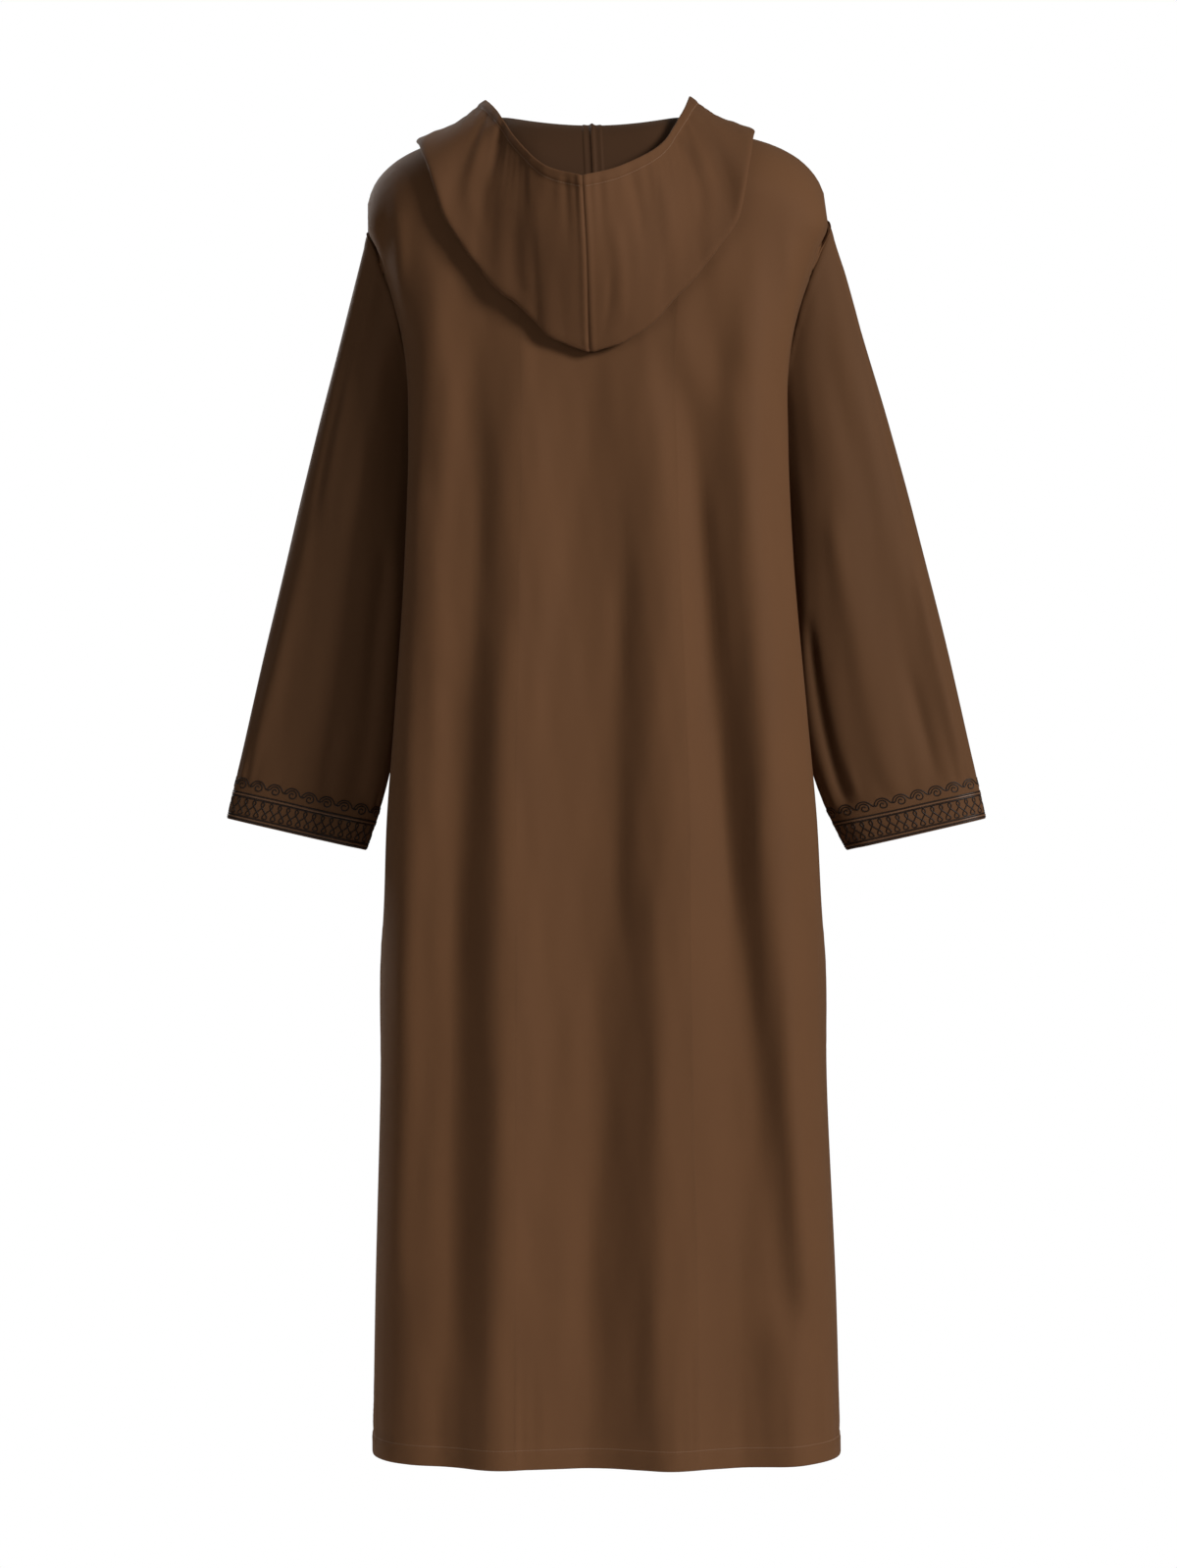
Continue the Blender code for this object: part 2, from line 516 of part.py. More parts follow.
def wall(piece, normals, seams, outside, inside):
    """The solid of a piece: its grid moved out and moved in, closed round the edges."""
    shape = piece.grid.shape
    normals = normals.reshape(shape)
    grid = drawn_back(piece.grid, normals, piece.wrapped, *seams)
    outer, inner = grid + normals * outside, grid - normals * inside
    rows, columns = shape[:2]
    count = rows * columns
    faces = [*piece.faces.tolist(), *(piece.faces[:, ::-1] + count).tolist()]
    numbers = np.arange(count).reshape(rows, columns)
    if piece.wrapped:
        loops = [np.append(numbers[0], numbers[0, 0]), np.append(numbers[-1], numbers[-1, 0])]
    else:
        loops = [np.concatenate([numbers[0], numbers[1:, -1], numbers[-1, -2::-1], numbers[-2::-1, 0]])]
    for loop in loops:
        faces += [[int(a), int(b), int(b) + count, int(a) + count] for a, b in zip(loop[:-1], loop[1:], strict=True)]
    mesh = bpy.data.meshes.new(piece.name)
    mesh.from_pydata(np.concatenate([outer.reshape(-1, 3), inner.reshape(-1, 3)]).tolist(), [], faces)
    shape_up = bmesh.new()
    shape_up.from_mesh(mesh)
    bmesh.ops.recalc_face_normals(shape_up, faces=shape_up.faces)
    bmesh.ops.triangulate(shape_up, faces=shape_up.faces, quad_method="SHORT_EDGE")
    shape_up.to_mesh(mesh)
    shape_up.free()
    mesh.shade_smooth()
    return mesh


def material(name, colour, roughness):
    """Plain cloth."""
    made = bpy.data.materials.new(name)
    made.use_nodes = True
    shader = made.node_tree.nodes["Principled BSDF"]
    shader.inputs["Base Color"].default_value = colour
    shader.inputs["Roughness"].default_value = roughness
    return made


def add(name, mesh, finish):
    """Put a mesh in the scene as an object of its own."""
    mesh.materials.append(finish)
    made = bpy.data.objects.new(name, mesh)
    bpy.context.scene.collection.objects.link(made)
    return made


def main():
    """Build every piece of the robe."""
    for old in list(bpy.data.objects):
        bpy.data.objects.remove(old, do_unlink=True)
    cloth = material("brown_cloth", CLOTH_BROWN, 0.7)
    thread = material("dark_thread", THREAD_BROWN, 0.6)
    pieces = [
        Piece("back", "body", body_panel(BACK)),
        Piece("front", "body", body_panel(FRONT), flipped=True),
        Piece("sleeve_left", "sleeve_left", sleeve(LEFT), wrapped=True),
        Piece("sleeve_right", "sleeve_right", sleeve(RIGHT), wrapped=True, flipped=True),
        Piece("hood_left", "hood", hood(LEFT), flipped=True),
        Piece("hood_right", "hood", hood(RIGHT)),
    ]
    seams = {
        "back": ((True, False), (True, True)),
        "front": ((True, False), (True, True)),
        "sleeve_left": ((True, False), (False, False)),
        "sleeve_right": ((True, False), (False, False)),
        "hood_left": ((True, False), (True, True)),
        "hood_right": ((True, False), (True, True)),
    }
    normals = shared_normals(pieces)
    for piece, directions in zip(pieces, normals, strict=True):
        add(piece.name, wall(piece, directions, seams[piece.name], WALL / 2, WALL / 2), cloth)
    for piece, directions in zip(pieces[2:4], normals[2:4], strict=True):
        facing = {"wrapped": True, "flipped": piece.name.endswith("right")}
        band = Piece("band" + piece.name[6:], "band", piece.grid[-2:], **facing)
        start = WALL / 2 + BAND_GAP
        ends = ((False, False), (False, False))
        outward = directions.reshape(piece.grid.shape)[-2:]
        add(band.name, wall(band, outward, ends, start + BAND_WALL, -start), thread)


main()
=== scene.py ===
"""A hooded djellaba robe, worn by nobody and filled out as if it were: two body panels, two set-in sleeves
with embroidered ends, and a two-piece hood that lies down on the back.

Metres, +Z up, front towards -Y, the wearer's left at +X. The origin is the middle of the neck, level with
the shoulders. Every piece of cloth is a fine grid of points, given thickness afterwards. Pieces sewn
together share their seam line."""

import logging
from dataclasses import dataclass, field
from enum import Enum
from typing import ClassVar

import bpy
import numpy as np
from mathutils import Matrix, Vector


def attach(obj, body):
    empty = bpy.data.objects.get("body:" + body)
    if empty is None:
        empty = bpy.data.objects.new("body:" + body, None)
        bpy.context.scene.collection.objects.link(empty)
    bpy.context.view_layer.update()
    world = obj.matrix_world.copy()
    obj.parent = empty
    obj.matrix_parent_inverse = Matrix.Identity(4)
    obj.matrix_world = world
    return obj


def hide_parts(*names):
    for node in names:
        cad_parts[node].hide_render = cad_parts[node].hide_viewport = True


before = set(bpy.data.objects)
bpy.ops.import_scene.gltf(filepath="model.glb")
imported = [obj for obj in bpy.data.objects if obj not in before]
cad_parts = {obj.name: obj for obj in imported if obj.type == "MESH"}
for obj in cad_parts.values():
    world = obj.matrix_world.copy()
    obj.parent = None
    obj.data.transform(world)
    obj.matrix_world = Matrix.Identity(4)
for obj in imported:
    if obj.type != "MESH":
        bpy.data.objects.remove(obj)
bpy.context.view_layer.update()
LOG = logging.getLogger("robe")

Array = np.ndarray


class Side(Enum):
    """A side of the wearer, by the sign of X there."""

    LEFT = 1.0
    RIGHT = -1.0


class Face(Enum):
    """A body panel, by the sign of Y there."""

    BACK = 1.0
    FRONT = -1.0


class Slot(Enum):
    """The record's material slots."""

    BODY = "body_cloth"
    SLEEVE = "sleeve_cloth"
    HOOD = "hood_cloth"
    THREAD = "embroidery"


# --- curves ---------------------------------------------------------------------------------------
def through(levels: Array, values: Array, at: Array) -> Array:
    """Smooth curve through a table's rows: cubic pieces whose slope at a row is the slope between its
    neighbours.

    Args:
        levels: where the rows are.
        values: the curve's value at each row.
        at: where the curve is read; outside the rows it is level.

    Returns:
        The values there.
    """
    at = np.clip(at, levels[0], levels[-1])
    slopes = np.gradient(values, levels)
    i = np.clip(np.searchsorted(levels, at, side="right") - 1, 0, len(levels) - 2)
    step = levels[i + 1] - levels[i]
    t = (at - levels[i]) / step
    return (
        values[i] * (1 + 2 * t) * (1 - t) ** 2
        + values[i + 1] * t * t * (3 - 2 * t)
        + step * (slopes[i] * t * (1 - t) ** 2 - slopes[i + 1] * t * t * (1 - t))
    )


def ease(t: Array) -> Array:
    """0 to 1 with level ends: 3 t squared less 2 t cubed."""
    t = np.clip(t, 0.0, 1.0)
    return t * t * (3 - 2 * t)


def quarter(t: Array) -> Array:
    """A quarter circle: it rises from 0 at once and levels off at 1."""
    return np.sqrt(1 - (1 - np.clip(t, 0.0, 1.0)) ** 2)


def bump(distance: Array, width: float) -> Array:
    """A soft ridge 1 high: the bell curve of distance over width."""
    return np.exp(-((distance / width) ** 2))


def unit(vectors: Array) -> Array:
    """The same directions, 1 long."""
    return vectors / np.linalg.norm(vectors, axis=-1, keepdims=True)


def walked(line: Array) -> Array:
    """Distance of each point of a line from its first, along the line."""
    return np.concatenate([[0.0], np.cumsum(np.linalg.norm(np.diff(line, axis=0), axis=1))])


@dataclass(frozen=True)
class Table:
    """Rows of sizes under named columns."""

    columns: tuple[str, ...]
    rows: tuple[tuple[float, ...], ...]

    def column(self, name: str) -> Array:
        """One column as an array."""
        return np.array([row[self.columns.index(name)] for row in self.rows])

    def at(self, name: str, level: Array) -> Array:
        """A column's smooth curve, read against the first column."""
        return through(self.column(self.columns[0]), self.column(name), level)


@dataclass(frozen=True)
class Creases:
    """Soft folds in a piece of cloth. Each runs from start to end along the cloth, from top_x to end_x
    across it, bowed sideways by bow; it is width wide and stands out by top_rise, changing to end_rise
    (below 0, a trough). It grows over the length fade, and dies away over the same length where it ends."""

    rows: tuple[tuple[float, ...], ...]
    fade: float = 0.07

    def height(self, across: Array, along: Array) -> Array:
        """Height of the folds: the sum of bell curves about each fold's line, each eased in and out.

        Args:
            across: distance across the cloth.
            along: distance along it.

        Returns:
            How far the cloth stands out.
        """
        total = np.zeros(np.broadcast(across, along).shape)
        for start, end, top_x, end_x, bow, width, top_rise, end_rise in self.rows:
            t = np.clip((along - start) / (end - start), 0, 1)
            middle = top_x + (end_x - top_x) * t + bow * np.sin(np.pi * t)
            rise = top_rise + (end_rise - top_rise) * t
            rise = rise * ease((along - start) / self.fade) * ease((end - along) / self.fade)
            total = total + rise * bump(across - middle, width)
        return total


@dataclass(frozen=True)
class Ripple:
    """Slight unevenness of hanging cloth: slow waves of unlike lengths laid over each other."""

    size: float = 0.0009
    waves: tuple[tuple[float, ...], ...] = (
        # across, along (waves per metre), phase, share
        (9.0, 1.3, 0.4, 0.50),
        (14.0, -2.1, 2.1, 0.45),
        (23.0, 3.1, 4.4, 0.30),
        (31.0, -4.7, 1.2, 0.22),
        (47.0, 7.3, 5.3, 0.10),
    )

    def height(self, across: Array, along: Array) -> Array:
        """Sum of sines of across and along."""
        turn = 2 * np.pi
        return self.size * sum(w * np.sin(turn * (a * across + b * along) + p) for a, b, p, w in self.waves)


# --- cloth grids ----------------------------------------------------------------------------------
@dataclass
class Grid:
    """A sheet of cloth as rows and columns of points. A wrapped grid's last column meets its first; a
    flipped one is numbered the other way round. texture holds each point's place on the flat cloth, in
    metres."""

    points: Array
    texture: Array
    wrapped: bool = False
    flipped: bool = False

    def normals(self) -> Array:
        """Outward directions: the cross product of the ways across and down at each point, 1 long."""
        if self.wrapped:
            across = np.roll(self.points, -1, axis=1) - np.roll(self.points, 1, axis=1)
        else:
            across = np.gradient(self.points, axis=1)
        down = np.gradient(self.points, axis=0)
        out = np.cross(across, down)
        length = np.linalg.norm(out, axis=-1, keepdims=True)
        return (-out if self.flipped else out) / np.where(length > 0, length, 1)

    def moved(self, height: Array) -> "Grid":
        """The same sheet with every point moved out by its height."""
        points = self.points + self.normals() * height[..., None]
        return Grid(points, self.texture, self.wrapped, self.flipped)

    def turned_under(self, rows: int, gap: float, steps: int = 5) -> "Grid":
        """The sheet with its last edge rolled inwards and laid back behind its own last rows.

        Args:
            rows: how many rows the turning reaches back.
            gap: between the two layers, middle to middle.
            steps: rows round the roll.

        Returns:
            The longer sheet.
        """
        out = self.normals()
        edge, normal = self.points[-1], out[-1]
        ahead = unit(self.points[-1] - self.points[-2])
        turn = np.linspace(0, np.pi, steps + 1)[1:, None, None]
        roll = edge - normal * gap / 2 + (normal * np.cos(turn) + ahead * np.sin(turn)) * gap / 2
        back = slice(-2, -rows - 2, -1)
        laid = self.points[back] - out[back] * gap
        along = np.linalg.norm(np.diff(np.concatenate([self.points[-1:], roll, laid]), axis=0), axis=-1)
        more = self.texture[-1] + np.stack([0 * along, np.cumsum(along, axis=0)], axis=-1) * [1, -1]
        points = np.concatenate([self.points, roll, laid])
        return Grid(points, np.concatenate([self.texture, more]), self.wrapped, self.flipped)

    def faces(self) -> Array:
        """Corner numbers of the grid's quads."""
        rows, columns = self.points.shape[:2]
        i, j = np.meshgrid(np.arange(rows - 1), np.arange(columns - (not self.wrapped)), indexing="ij")
        k = (j + 1) % columns
        quads = np.stack([i * columns + j, (i + 1) * columns + j, (i + 1) * columns + k, i * columns + k], -1)
        quads = quads.reshape(-1, 4)
        return quads if self.flipped else quads[:, ::-1]

    def corner_texture(self, faces: Array) -> Array:
        """Texture place of every face corner; on a tube the last faces run past its seam and not back.

        Args:
            faces: corner numbers of the quads.

        Returns:
            The places (corners, 2).
        """
        columns = self.points.shape[1]
        place = self.texture.reshape(-1, 2)[faces.reshape(-1)].reshape(*faces.shape, 2).copy()
        if self.wrapped:
            first = (faces % columns == 0) & ((faces % columns).max(axis=1) == columns - 1)[:, None]
            turn = self.texture[:, -1, 0] - self.texture[:, 0, 0]
            place[..., 0] += first * (turn * columns / (columns - 1))[faces // columns]
        return place.reshape(-1, 2)


def flat_places(points: Array) -> Array:
    """Places on the flat cloth of a grid: distance across along each row from its middle, and distance down
    from the top, both in metres.

    Args:
        points: the grid (rows, columns, 3).

    Returns:
        The places (rows, columns, 2).
    """
    across = np.linalg.norm(np.diff(points, axis=1), axis=-1)
    across = np.concatenate([np.zeros((len(points), 1)), np.cumsum(across, axis=1)], axis=1)
    down = np.linalg.norm(np.diff(points, axis=0), axis=-1)
    down = np.concatenate([np.zeros((1, points.shape[1])), np.cumsum(down, axis=0)])
    middle = across[:, points.shape[1] // 2, None]
    return np.stack([across - middle, -down], axis=-1)


def mesh_object(name: str, points: Array, faces: Array, texture: Array | None = None) -> bpy.types.Object:
    """A smooth mesh object at the origin.

    Args:
        name: the object's name.
        points: its points.
        faces: corner numbers, the same count for every face.
        texture: texture place of every face corner.

    Returns:
        The object, linked to the scene.
    """
    mesh = bpy.data.meshes.new(name)
    mesh.vertices.add(len(points))
    mesh.vertices.foreach_set("co", np.ascontiguousarray(points, np.float32).reshape(-1))
    count, corners = faces.shape
    mesh.loops.add(count * corners)
    mesh.loops.foreach_set("vertex_index", np.ascontiguousarray(faces, np.int32).reshape(-1))
    mesh.polygons.add(count)
    mesh.polygons.foreach_set("loop_start", np.arange(count, dtype=np.int32) * corners)
    if texture is not None:
        places = mesh.uv_layers.new(name="cloth")
        places.data.foreach_set("uv", np.ascontiguousarray(texture, np.float32).reshape(-1))
    mesh.update(calc_edges=True)
    mesh.validate()
    mesh.shade_smooth()
    made = bpy.data.objects.new(name, mesh)
    bpy.context.scene.collection.objects.link(made)
    return made


def cloth_object(name: str, grid: Grid, thickness: float, *sides: bpy.types.Material) -> bpy.types.Object:
    """A sheet's object, with its thickness half to each side.

    Args:
        name: the object's name.
        grid: the sheet.
        thickness: of the cloth.
        sides: the material of its right side, and that of its wrong side if that is another; the hood's wrong
            side takes painted shade.

    Returns:
        The object.
    """
    faces = grid.faces()
    made = mesh_object(name, grid.points.reshape(-1, 3), faces, grid.corner_texture(faces))
    for finish in sides:
        made.data.materials.append(finish)
    shell = made.modifiers.new("thickness", "SOLIDIFY")
    shell.thickness = thickness
    shell.offset = 0.0
    shell.material_offset = len(sides) - 1
    return made


# --- tubes and stitches ---------------------------------------------------------------------------
CORD_TIP = 0.35  # width of a cut end, a share of the cord's


def cords(paths: Array, outward: Array, width: float, height: float, closed: bool, sides: int = 6) -> tuple:
    """Cords along many paths of as many points: at each point a ring, an ellipse across the path.

    Args:
        paths: the cords' middle lines (cords, points, 3).
        outward: outward direction of the cloth at each point.
        width: of a cord, along the cloth.
        height: of a cord, square to the cloth.
        closed: whether each path's end meets its start; otherwise its ends narrow and are capped.
        sides: corners of a ring.

    Returns:
        The points and the quads of all the cords.
    """
    count, long = paths.shape[:2]
    taper = np.ones(long)
    if closed:
        ahead = np.roll(paths, -1, axis=1) - np.roll(paths, 1, axis=1)
    else:
        ahead = np.gradient(paths, axis=1)
        taper[[0, -1]] = CORD_TIP
    beside = unit(np.cross(outward, ahead))[:, :, None]
    turn = np.linspace(0, 2 * np.pi, sides + 1)[:-1][:, None]
    ring = beside * np.cos(turn) * width / 2 + outward[:, :, None] * np.sin(turn) * height / 2
    points = (paths[:, :, None] + ring * taper[:, None, None]).reshape(-1, 3)
    i, j = np.meshgrid(np.arange(long if closed else long - 1), np.arange(sides), indexing="ij")
    here, ahead_ring = i * sides, (i + 1) % long * sides
    k = (j + 1) % sides
    quads = np.stack([here + j, here + k, ahead_ring + k, ahead_ring + j], -1).reshape(-1, 4)
    if not closed:
        fan = np.array([[0, k, k + 1, k + 2] for k in range(1, sides - 2, 2)])
        quads = np.concatenate([quads, fan[:, ::-1], fan + (long - 1) * sides])
    quads = (quads[None] + (np.arange(count) * long * sides)[:, None, None]).reshape(-1, 4)
    return points, quads


def join(parts: list[tuple]) -> tuple:
    """Several (points, quads) as one.

    Args:
        parts: points and quads of each.

    Returns:
        The points and the quads.
    """
    starts = np.cumsum([0] + [len(points) for points, _ in parts])
    quads = [quads + start for (_, quads), start in zip(parts, starts, strict=False)]
    return np.concatenate([points for points, _ in parts]), np.concatenate(quads)


# --- the robe's form ------------------------------------------------------------------------------
SECTIONS = Table(
    # the body: drop below the origin, half width, depth behind and in front, tuck under the arm, lean
    ("drop", "half", "back", "front", "tuck", "lean"),
    (
        (0.000, 0.250, 0.092, 0.084, 0.000, 0.005),
        (0.100, 0.252, 0.106, 0.100, 0.000, -0.002),
        (0.122, 0.251, 0.109, 0.104, 0.000, -0.003),
        (0.145, 0.240, 0.112, 0.109, 0.000, -0.003),
        (0.190, 0.222, 0.116, 0.116, 0.002, -0.003),
        (0.260, 0.208, 0.120, 0.124, 0.008, -0.003),
        (0.345, 0.209, 0.122, 0.126, 0.026, -0.004),
        (0.480, 0.216, 0.122, 0.125, 0.040, -0.005),
        (0.640, 0.228, 0.123, 0.124, 0.036, -0.007),
        (0.760, 0.235, 0.124, 0.124, 0.018, -0.008),
        (0.860, 0.234, 0.126, 0.126, 0.000, -0.009),
        (1.050, 0.238, 0.130, 0.130, 0.000, -0.010),
        (1.250, 0.245, 0.135, 0.134, 0.000, -0.012),
        (1.440, 0.249, 0.139, 0.138, 0.000, -0.013),
    ),
)

# start, end (down from the origin), top_x, end_x (across from the middle), bow, width, top_rise, end_rise
LONG = 1.60  # past the hem, so that a fold runs off it
BACK_FOLDS = Creases(
    (
        (0.10, LONG, 0.176, 0.208, 0.000, 0.034, 0.009, 0.001),
        (0.12, LONG, 0.116, 0.154, 0.004, 0.034, -0.007, -0.010),
        (0.20, LONG, 0.084, 0.107, 0.006, 0.030, 0.005, 0.016),
        (0.20, LONG, 0.006, 0.010, -0.006, 0.040, -0.005, -0.015),
        (0.22, LONG, -0.070, -0.083, 0.004, 0.034, 0.003, 0.016),
        (0.14, LONG, -0.124, -0.164, 0.000, 0.028, -0.010, -0.011),
        (0.12, LONG, -0.164, -0.232, 0.004, 0.032, 0.010, 0.008),
    ),
    fade=0.16,
)
FRONT_FOLDS = Creases(
    (
        (0.12, LONG, 0.172, 0.203, 0.000, 0.034, 0.008, 0.004),
        (0.16, LONG, 0.118, 0.129, 0.004, 0.034, -0.006, -0.012),
        (0.20, LONG, 0.062, 0.057, -0.006, 0.034, 0.004, 0.015),
        (0.24, LONG, -0.004, -0.011, 0.004, 0.042, -0.004, -0.013),
        (0.20, LONG, -0.070, -0.093, 0.006, 0.034, 0.005, 0.015),
        (0.16, LONG, -0.122, -0.154, 0.000, 0.030, -0.008, -0.011),
        (0.12, LONG, -0.168, -0.229, 0.003, 0.034, 0.008, 0.006),
    ),
    fade=0.16,
)
BACK_CREASES = Creases(
    (
        (0.10, 0.38, 0.205, 0.200, 0.003, 0.009, 0.0050, 0.0040),
        (0.07, 0.34, 0.222, 0.213, 0.002, 0.008, -0.0090, -0.0060),
        (0.12, 0.62, -0.203, -0.214, -0.004, 0.009, 0.0035, 0.0030),
        (0.16, 0.52, -0.188, -0.190, 0.005, 0.010, -0.0025, -0.0020),
        (0.24, 0.80, 0.148, 0.170, 0.006, 0.013, 0.0022, 0.0030),
        (0.30, 0.95, 0.120, 0.139, -0.005, 0.011, -0.0020, -0.0025),
        (0.42, 1.20, 0.052, 0.064, 0.008, 0.014, 0.0020, 0.0028),
        (0.34, 0.92, -0.034, -0.029, 0.006, 0.012, -0.0018, -0.0026),
        (0.28, 0.78, -0.104, -0.111, -0.004, 0.011, -0.0030, -0.0030),
        (0.38, 1.10, -0.128, -0.158, -0.004, 0.012, 0.0028, 0.0022),
        (0.62, 1.34, 0.176, 0.196, -0.006, 0.014, -0.0025, -0.0020),
        (0.78, 1.42, -0.062, -0.058, -0.007, 0.013, 0.0020, 0.0025),
        (0.70, 1.30, -0.189, -0.204, 0.006, 0.012, -0.0026, -0.0022),
        (0.90, LONG, 0.018, 0.030, 0.005, 0.016, 0.0016, 0.0022),
        (1.12, LONG, -0.236, -0.226, -0.003, 0.012, -0.0030, -0.0020),
        (1.16, LONG, -0.120, -0.134, 0.006, 0.015, -0.0016, -0.0022),
        (0.24, 1.32, -0.080, -0.203, 0.000, 0.021, -0.0082, -0.0090),
        (0.26, 1.30, -0.132, -0.240, 0.000, 0.024, 0.0074, 0.0080),
        (0.36, 1.28, 0.194, 0.210, 0.000, 0.019, 0.0066, 0.0060),
        (0.58, 1.36, 0.150, 0.134, 0.000, 0.017, -0.0040, -0.0036),
        (0.52, 1.30, 0.098, 0.092, 0.000, 0.020, 0.0036, 0.0034),
        (0.46, 1.34, -0.036, 0.012, 0.000, 0.022, -0.0028, -0.0034),
    ),
)
FRONT_CREASES = Creases(
    (
        (0.12, 0.40, 0.203, 0.196, 0.003, 0.008, 0.0030, 0.0030),
        (0.10, 0.46, -0.206, -0.199, -0.003, 0.009, -0.0034, -0.0028),
        (0.26, 0.76, 0.150, 0.166, 0.005, 0.012, 0.0024, 0.0028),
        (0.34, 0.98, 0.092, 0.108, -0.005, 0.012, -0.0022, -0.0026),
        (0.30, 0.86, -0.140, -0.152, -0.005, 0.011, 0.0026, 0.0024),
        (0.46, 1.22, 0.030, 0.026, 0.006, 0.014, 0.0018, 0.0026),
        (0.40, 1.04, -0.044, -0.036, 0.005, 0.012, -0.0020, -0.0026),
        (0.66, 1.36, 0.180, 0.194, -0.006, 0.013, -0.0024, -0.0022),
        (0.74, 1.40, -0.186, -0.206, 0.006, 0.012, -0.0026, -0.0020),
        (0.92, LONG, -0.112, -0.116, 0.005, 0.015, 0.0018, 0.0022),
        (1.04, LONG, 0.086, 0.096, -0.004, 0.014, -0.0018, -0.0022),
    ),
)


@dataclass(frozen=True)
class BodyForm:
    """The surface that both body panels lie on, and that the hood and the sleeves are sewn to. A place on
    it is a share of the half width, 0 at the centre and 1 at the side seam, and a height below the top
    edge."""

    neck_half: float = 0.098
    neck_back: float = 0.066
    neck_front: float = 0.078
    neck_drop_back: float = 0.016
    neck_drop_front: float = 0.069
    neck_level: float = 0.016
    shoulder_half: float = 0.244
    shoulder_slope: float = 0.08
    shoulder_fall: float = 0.0893
    shoulder_power: float = 2.7
    shoulder_tilt: float = 0.006
    armhole_depth: float = 0.228
    armhole_turn: float = 0.45
    armhole_round: float = 0.05
    section_power: float = 4.0
    top_half: float = 0.250
    top_round: float = 0.075
    neck_round: float = 0.050
    hem_side: float = 1.425
    hem_drop: float = 0.005
    tuck_reach: float = 0.048
    calm_drop: float = 0.08
    calm_length: float = 0.10
    side_calm: float = 1.6

    @property
    def neck_share(self) -> float:
        """Share at the side of the neck."""
        return self.neck_half / self.top_half

    @property
    def tip_share(self) -> float:
        """Share at the top of the sleeve seam."""
        return self.shoulder_half / self.top_half

    def crest(self, share: Array, side: Side, face: Face) -> Array:
        """Height of a panel's top edge: the neck opening, a parabola, then the rounded slope of the
        shoulder.

        Args:
            share: place across.
            side: side of the wearer.
            face: which panel.

        Returns:
            Z of the edge.
        """
        inner = np.clip(1 - (share / self.neck_share) ** 2, 0, 1)
        neck_drop = self.neck_drop_back if face is Face.BACK else self.neck_drop_front
        out = np.clip((share - self.neck_share) / (self.tip_share - self.neck_share), 0, 1)
        rounding = 1 - (1 - out**self.shoulder_power) ** (1 / self.shoulder_power)
        slope = self.shoulder_slope * self.top_half * np.clip(share - self.neck_share, 0, None)
        fall = slope + self.shoulder_fall * rounding
        return -self.neck_level - neck_drop * inner - fall - side.value * self.shoulder_tilt * out

    def crest_depth(self, share: Array, face: Face) -> Array:
        """Y of a panel's top edge: the neck opening is an ellipse, and the shoulder seam is straight."""
        reach = self.neck_back if face is Face.BACK else self.neck_front
        return face.value * reach * np.sqrt(np.clip(1 - (share / self.neck_share) ** 2, 0, 1))

    def relief(self, x: Array, drop: Array, face: Face) -> Array:
        """Height of a panel's folds, large and small, and of its ripple.

        Args:
            x: across.
            drop: height below the origin.
            face: which panel.

        Returns:
            How far the cloth stands out.
        """
        folds, creases = (BACK_FOLDS, BACK_CREASES) if face is Face.BACK else (FRONT_FOLDS, FRONT_CREASES)
        calm = ease((drop - self.calm_drop) / self.calm_length)
        return folds.height(x, drop) + creases.height(x, drop) + Ripple().height(x, drop) * calm

    def hang(self, share: Array, side: Side, face: Face, drop: Array) -> tuple[Array, Array]:
        """X and Y of the hanging cloth: at each height a squarish ellipse, tucked in under the arm, with
        its folds.

        Args:
            share: place across.
            side: side of the wearer.
            face: which panel.
            drop: height below the origin.

        Returns:
            X and Y.
        """
        across = np.clip(share, 0, 1)
        deep = (1 - across**self.section_power) ** (1 / self.section_power)
        y = SECTIONS.at("back" if face is Face.BACK else "front", drop) * deep
        x = SECTIONS.at("half", drop) * across - SECTIONS.at("tuck", drop) * bump(y, self.tuck_reach)
        x = SECTIONS.at("lean", drop) + side.value * x
        return x, face.value * (y + self.relief(x, drop, face) * ease(deep * self.side_calm))

    def point(self, share: Array, side: Side, face: Face, below: Array) -> Array:
        """A point of a panel, the given height below its top edge: it rounds over the shoulder, then
        hangs.

        Args:
            share: place across.
            side: side of the wearer.
            face: which panel.
            below: height below the top edge.

        Returns:
            The points.
        """
        drop = below - self.crest(share, side, face)
        x, y = self.hang(share, side, face, drop)
        neck = np.clip(1 - share / self.neck_share, 0, 1)
        rounding = self.top_round + (self.neck_round - self.top_round) * ease(2 * neck)
        start = self.crest_depth(share, face)
        return np.stack([x, start + (y - start) * quarter(below / rounding), -drop + 0 * x], axis=-1)

    def normal(self, share: Array, side: Side, face: Face, below: Array) -> Array:
        """Outward direction of a panel there, from points a little to each side of it.

        Args:
            share: place across.
            side: side of the wearer.
            face: which panel.
            below: height below the top edge.

        Returns:
            The directions, 1 long.
        """
        tiny = 1e-3
        below = np.maximum(below, 2 * tiny)
        across = self.point(share + tiny, side, face, below) - self.point(share - tiny, side, face, below)
        down = self.point(share, side, face, below + tiny) - self.point(share, side, face, below - tiny)
        return unit(np.cross(across, down) * side.value * face.value)

    def armhole_share(self, turn: Array) -> Array:
        """Share of the armhole's edge, from 0 at the top of the sleeve seam to 1 at the underarm.

        Args:
            turn: place along the edge, 0 to 1.

        Returns:
            The shares.
        """
        power = self.section_power
        deep = (1 - self.tip_share**power) ** (1 / power) * (1 - turn)
        return (1 - deep**power) ** (1 / power)

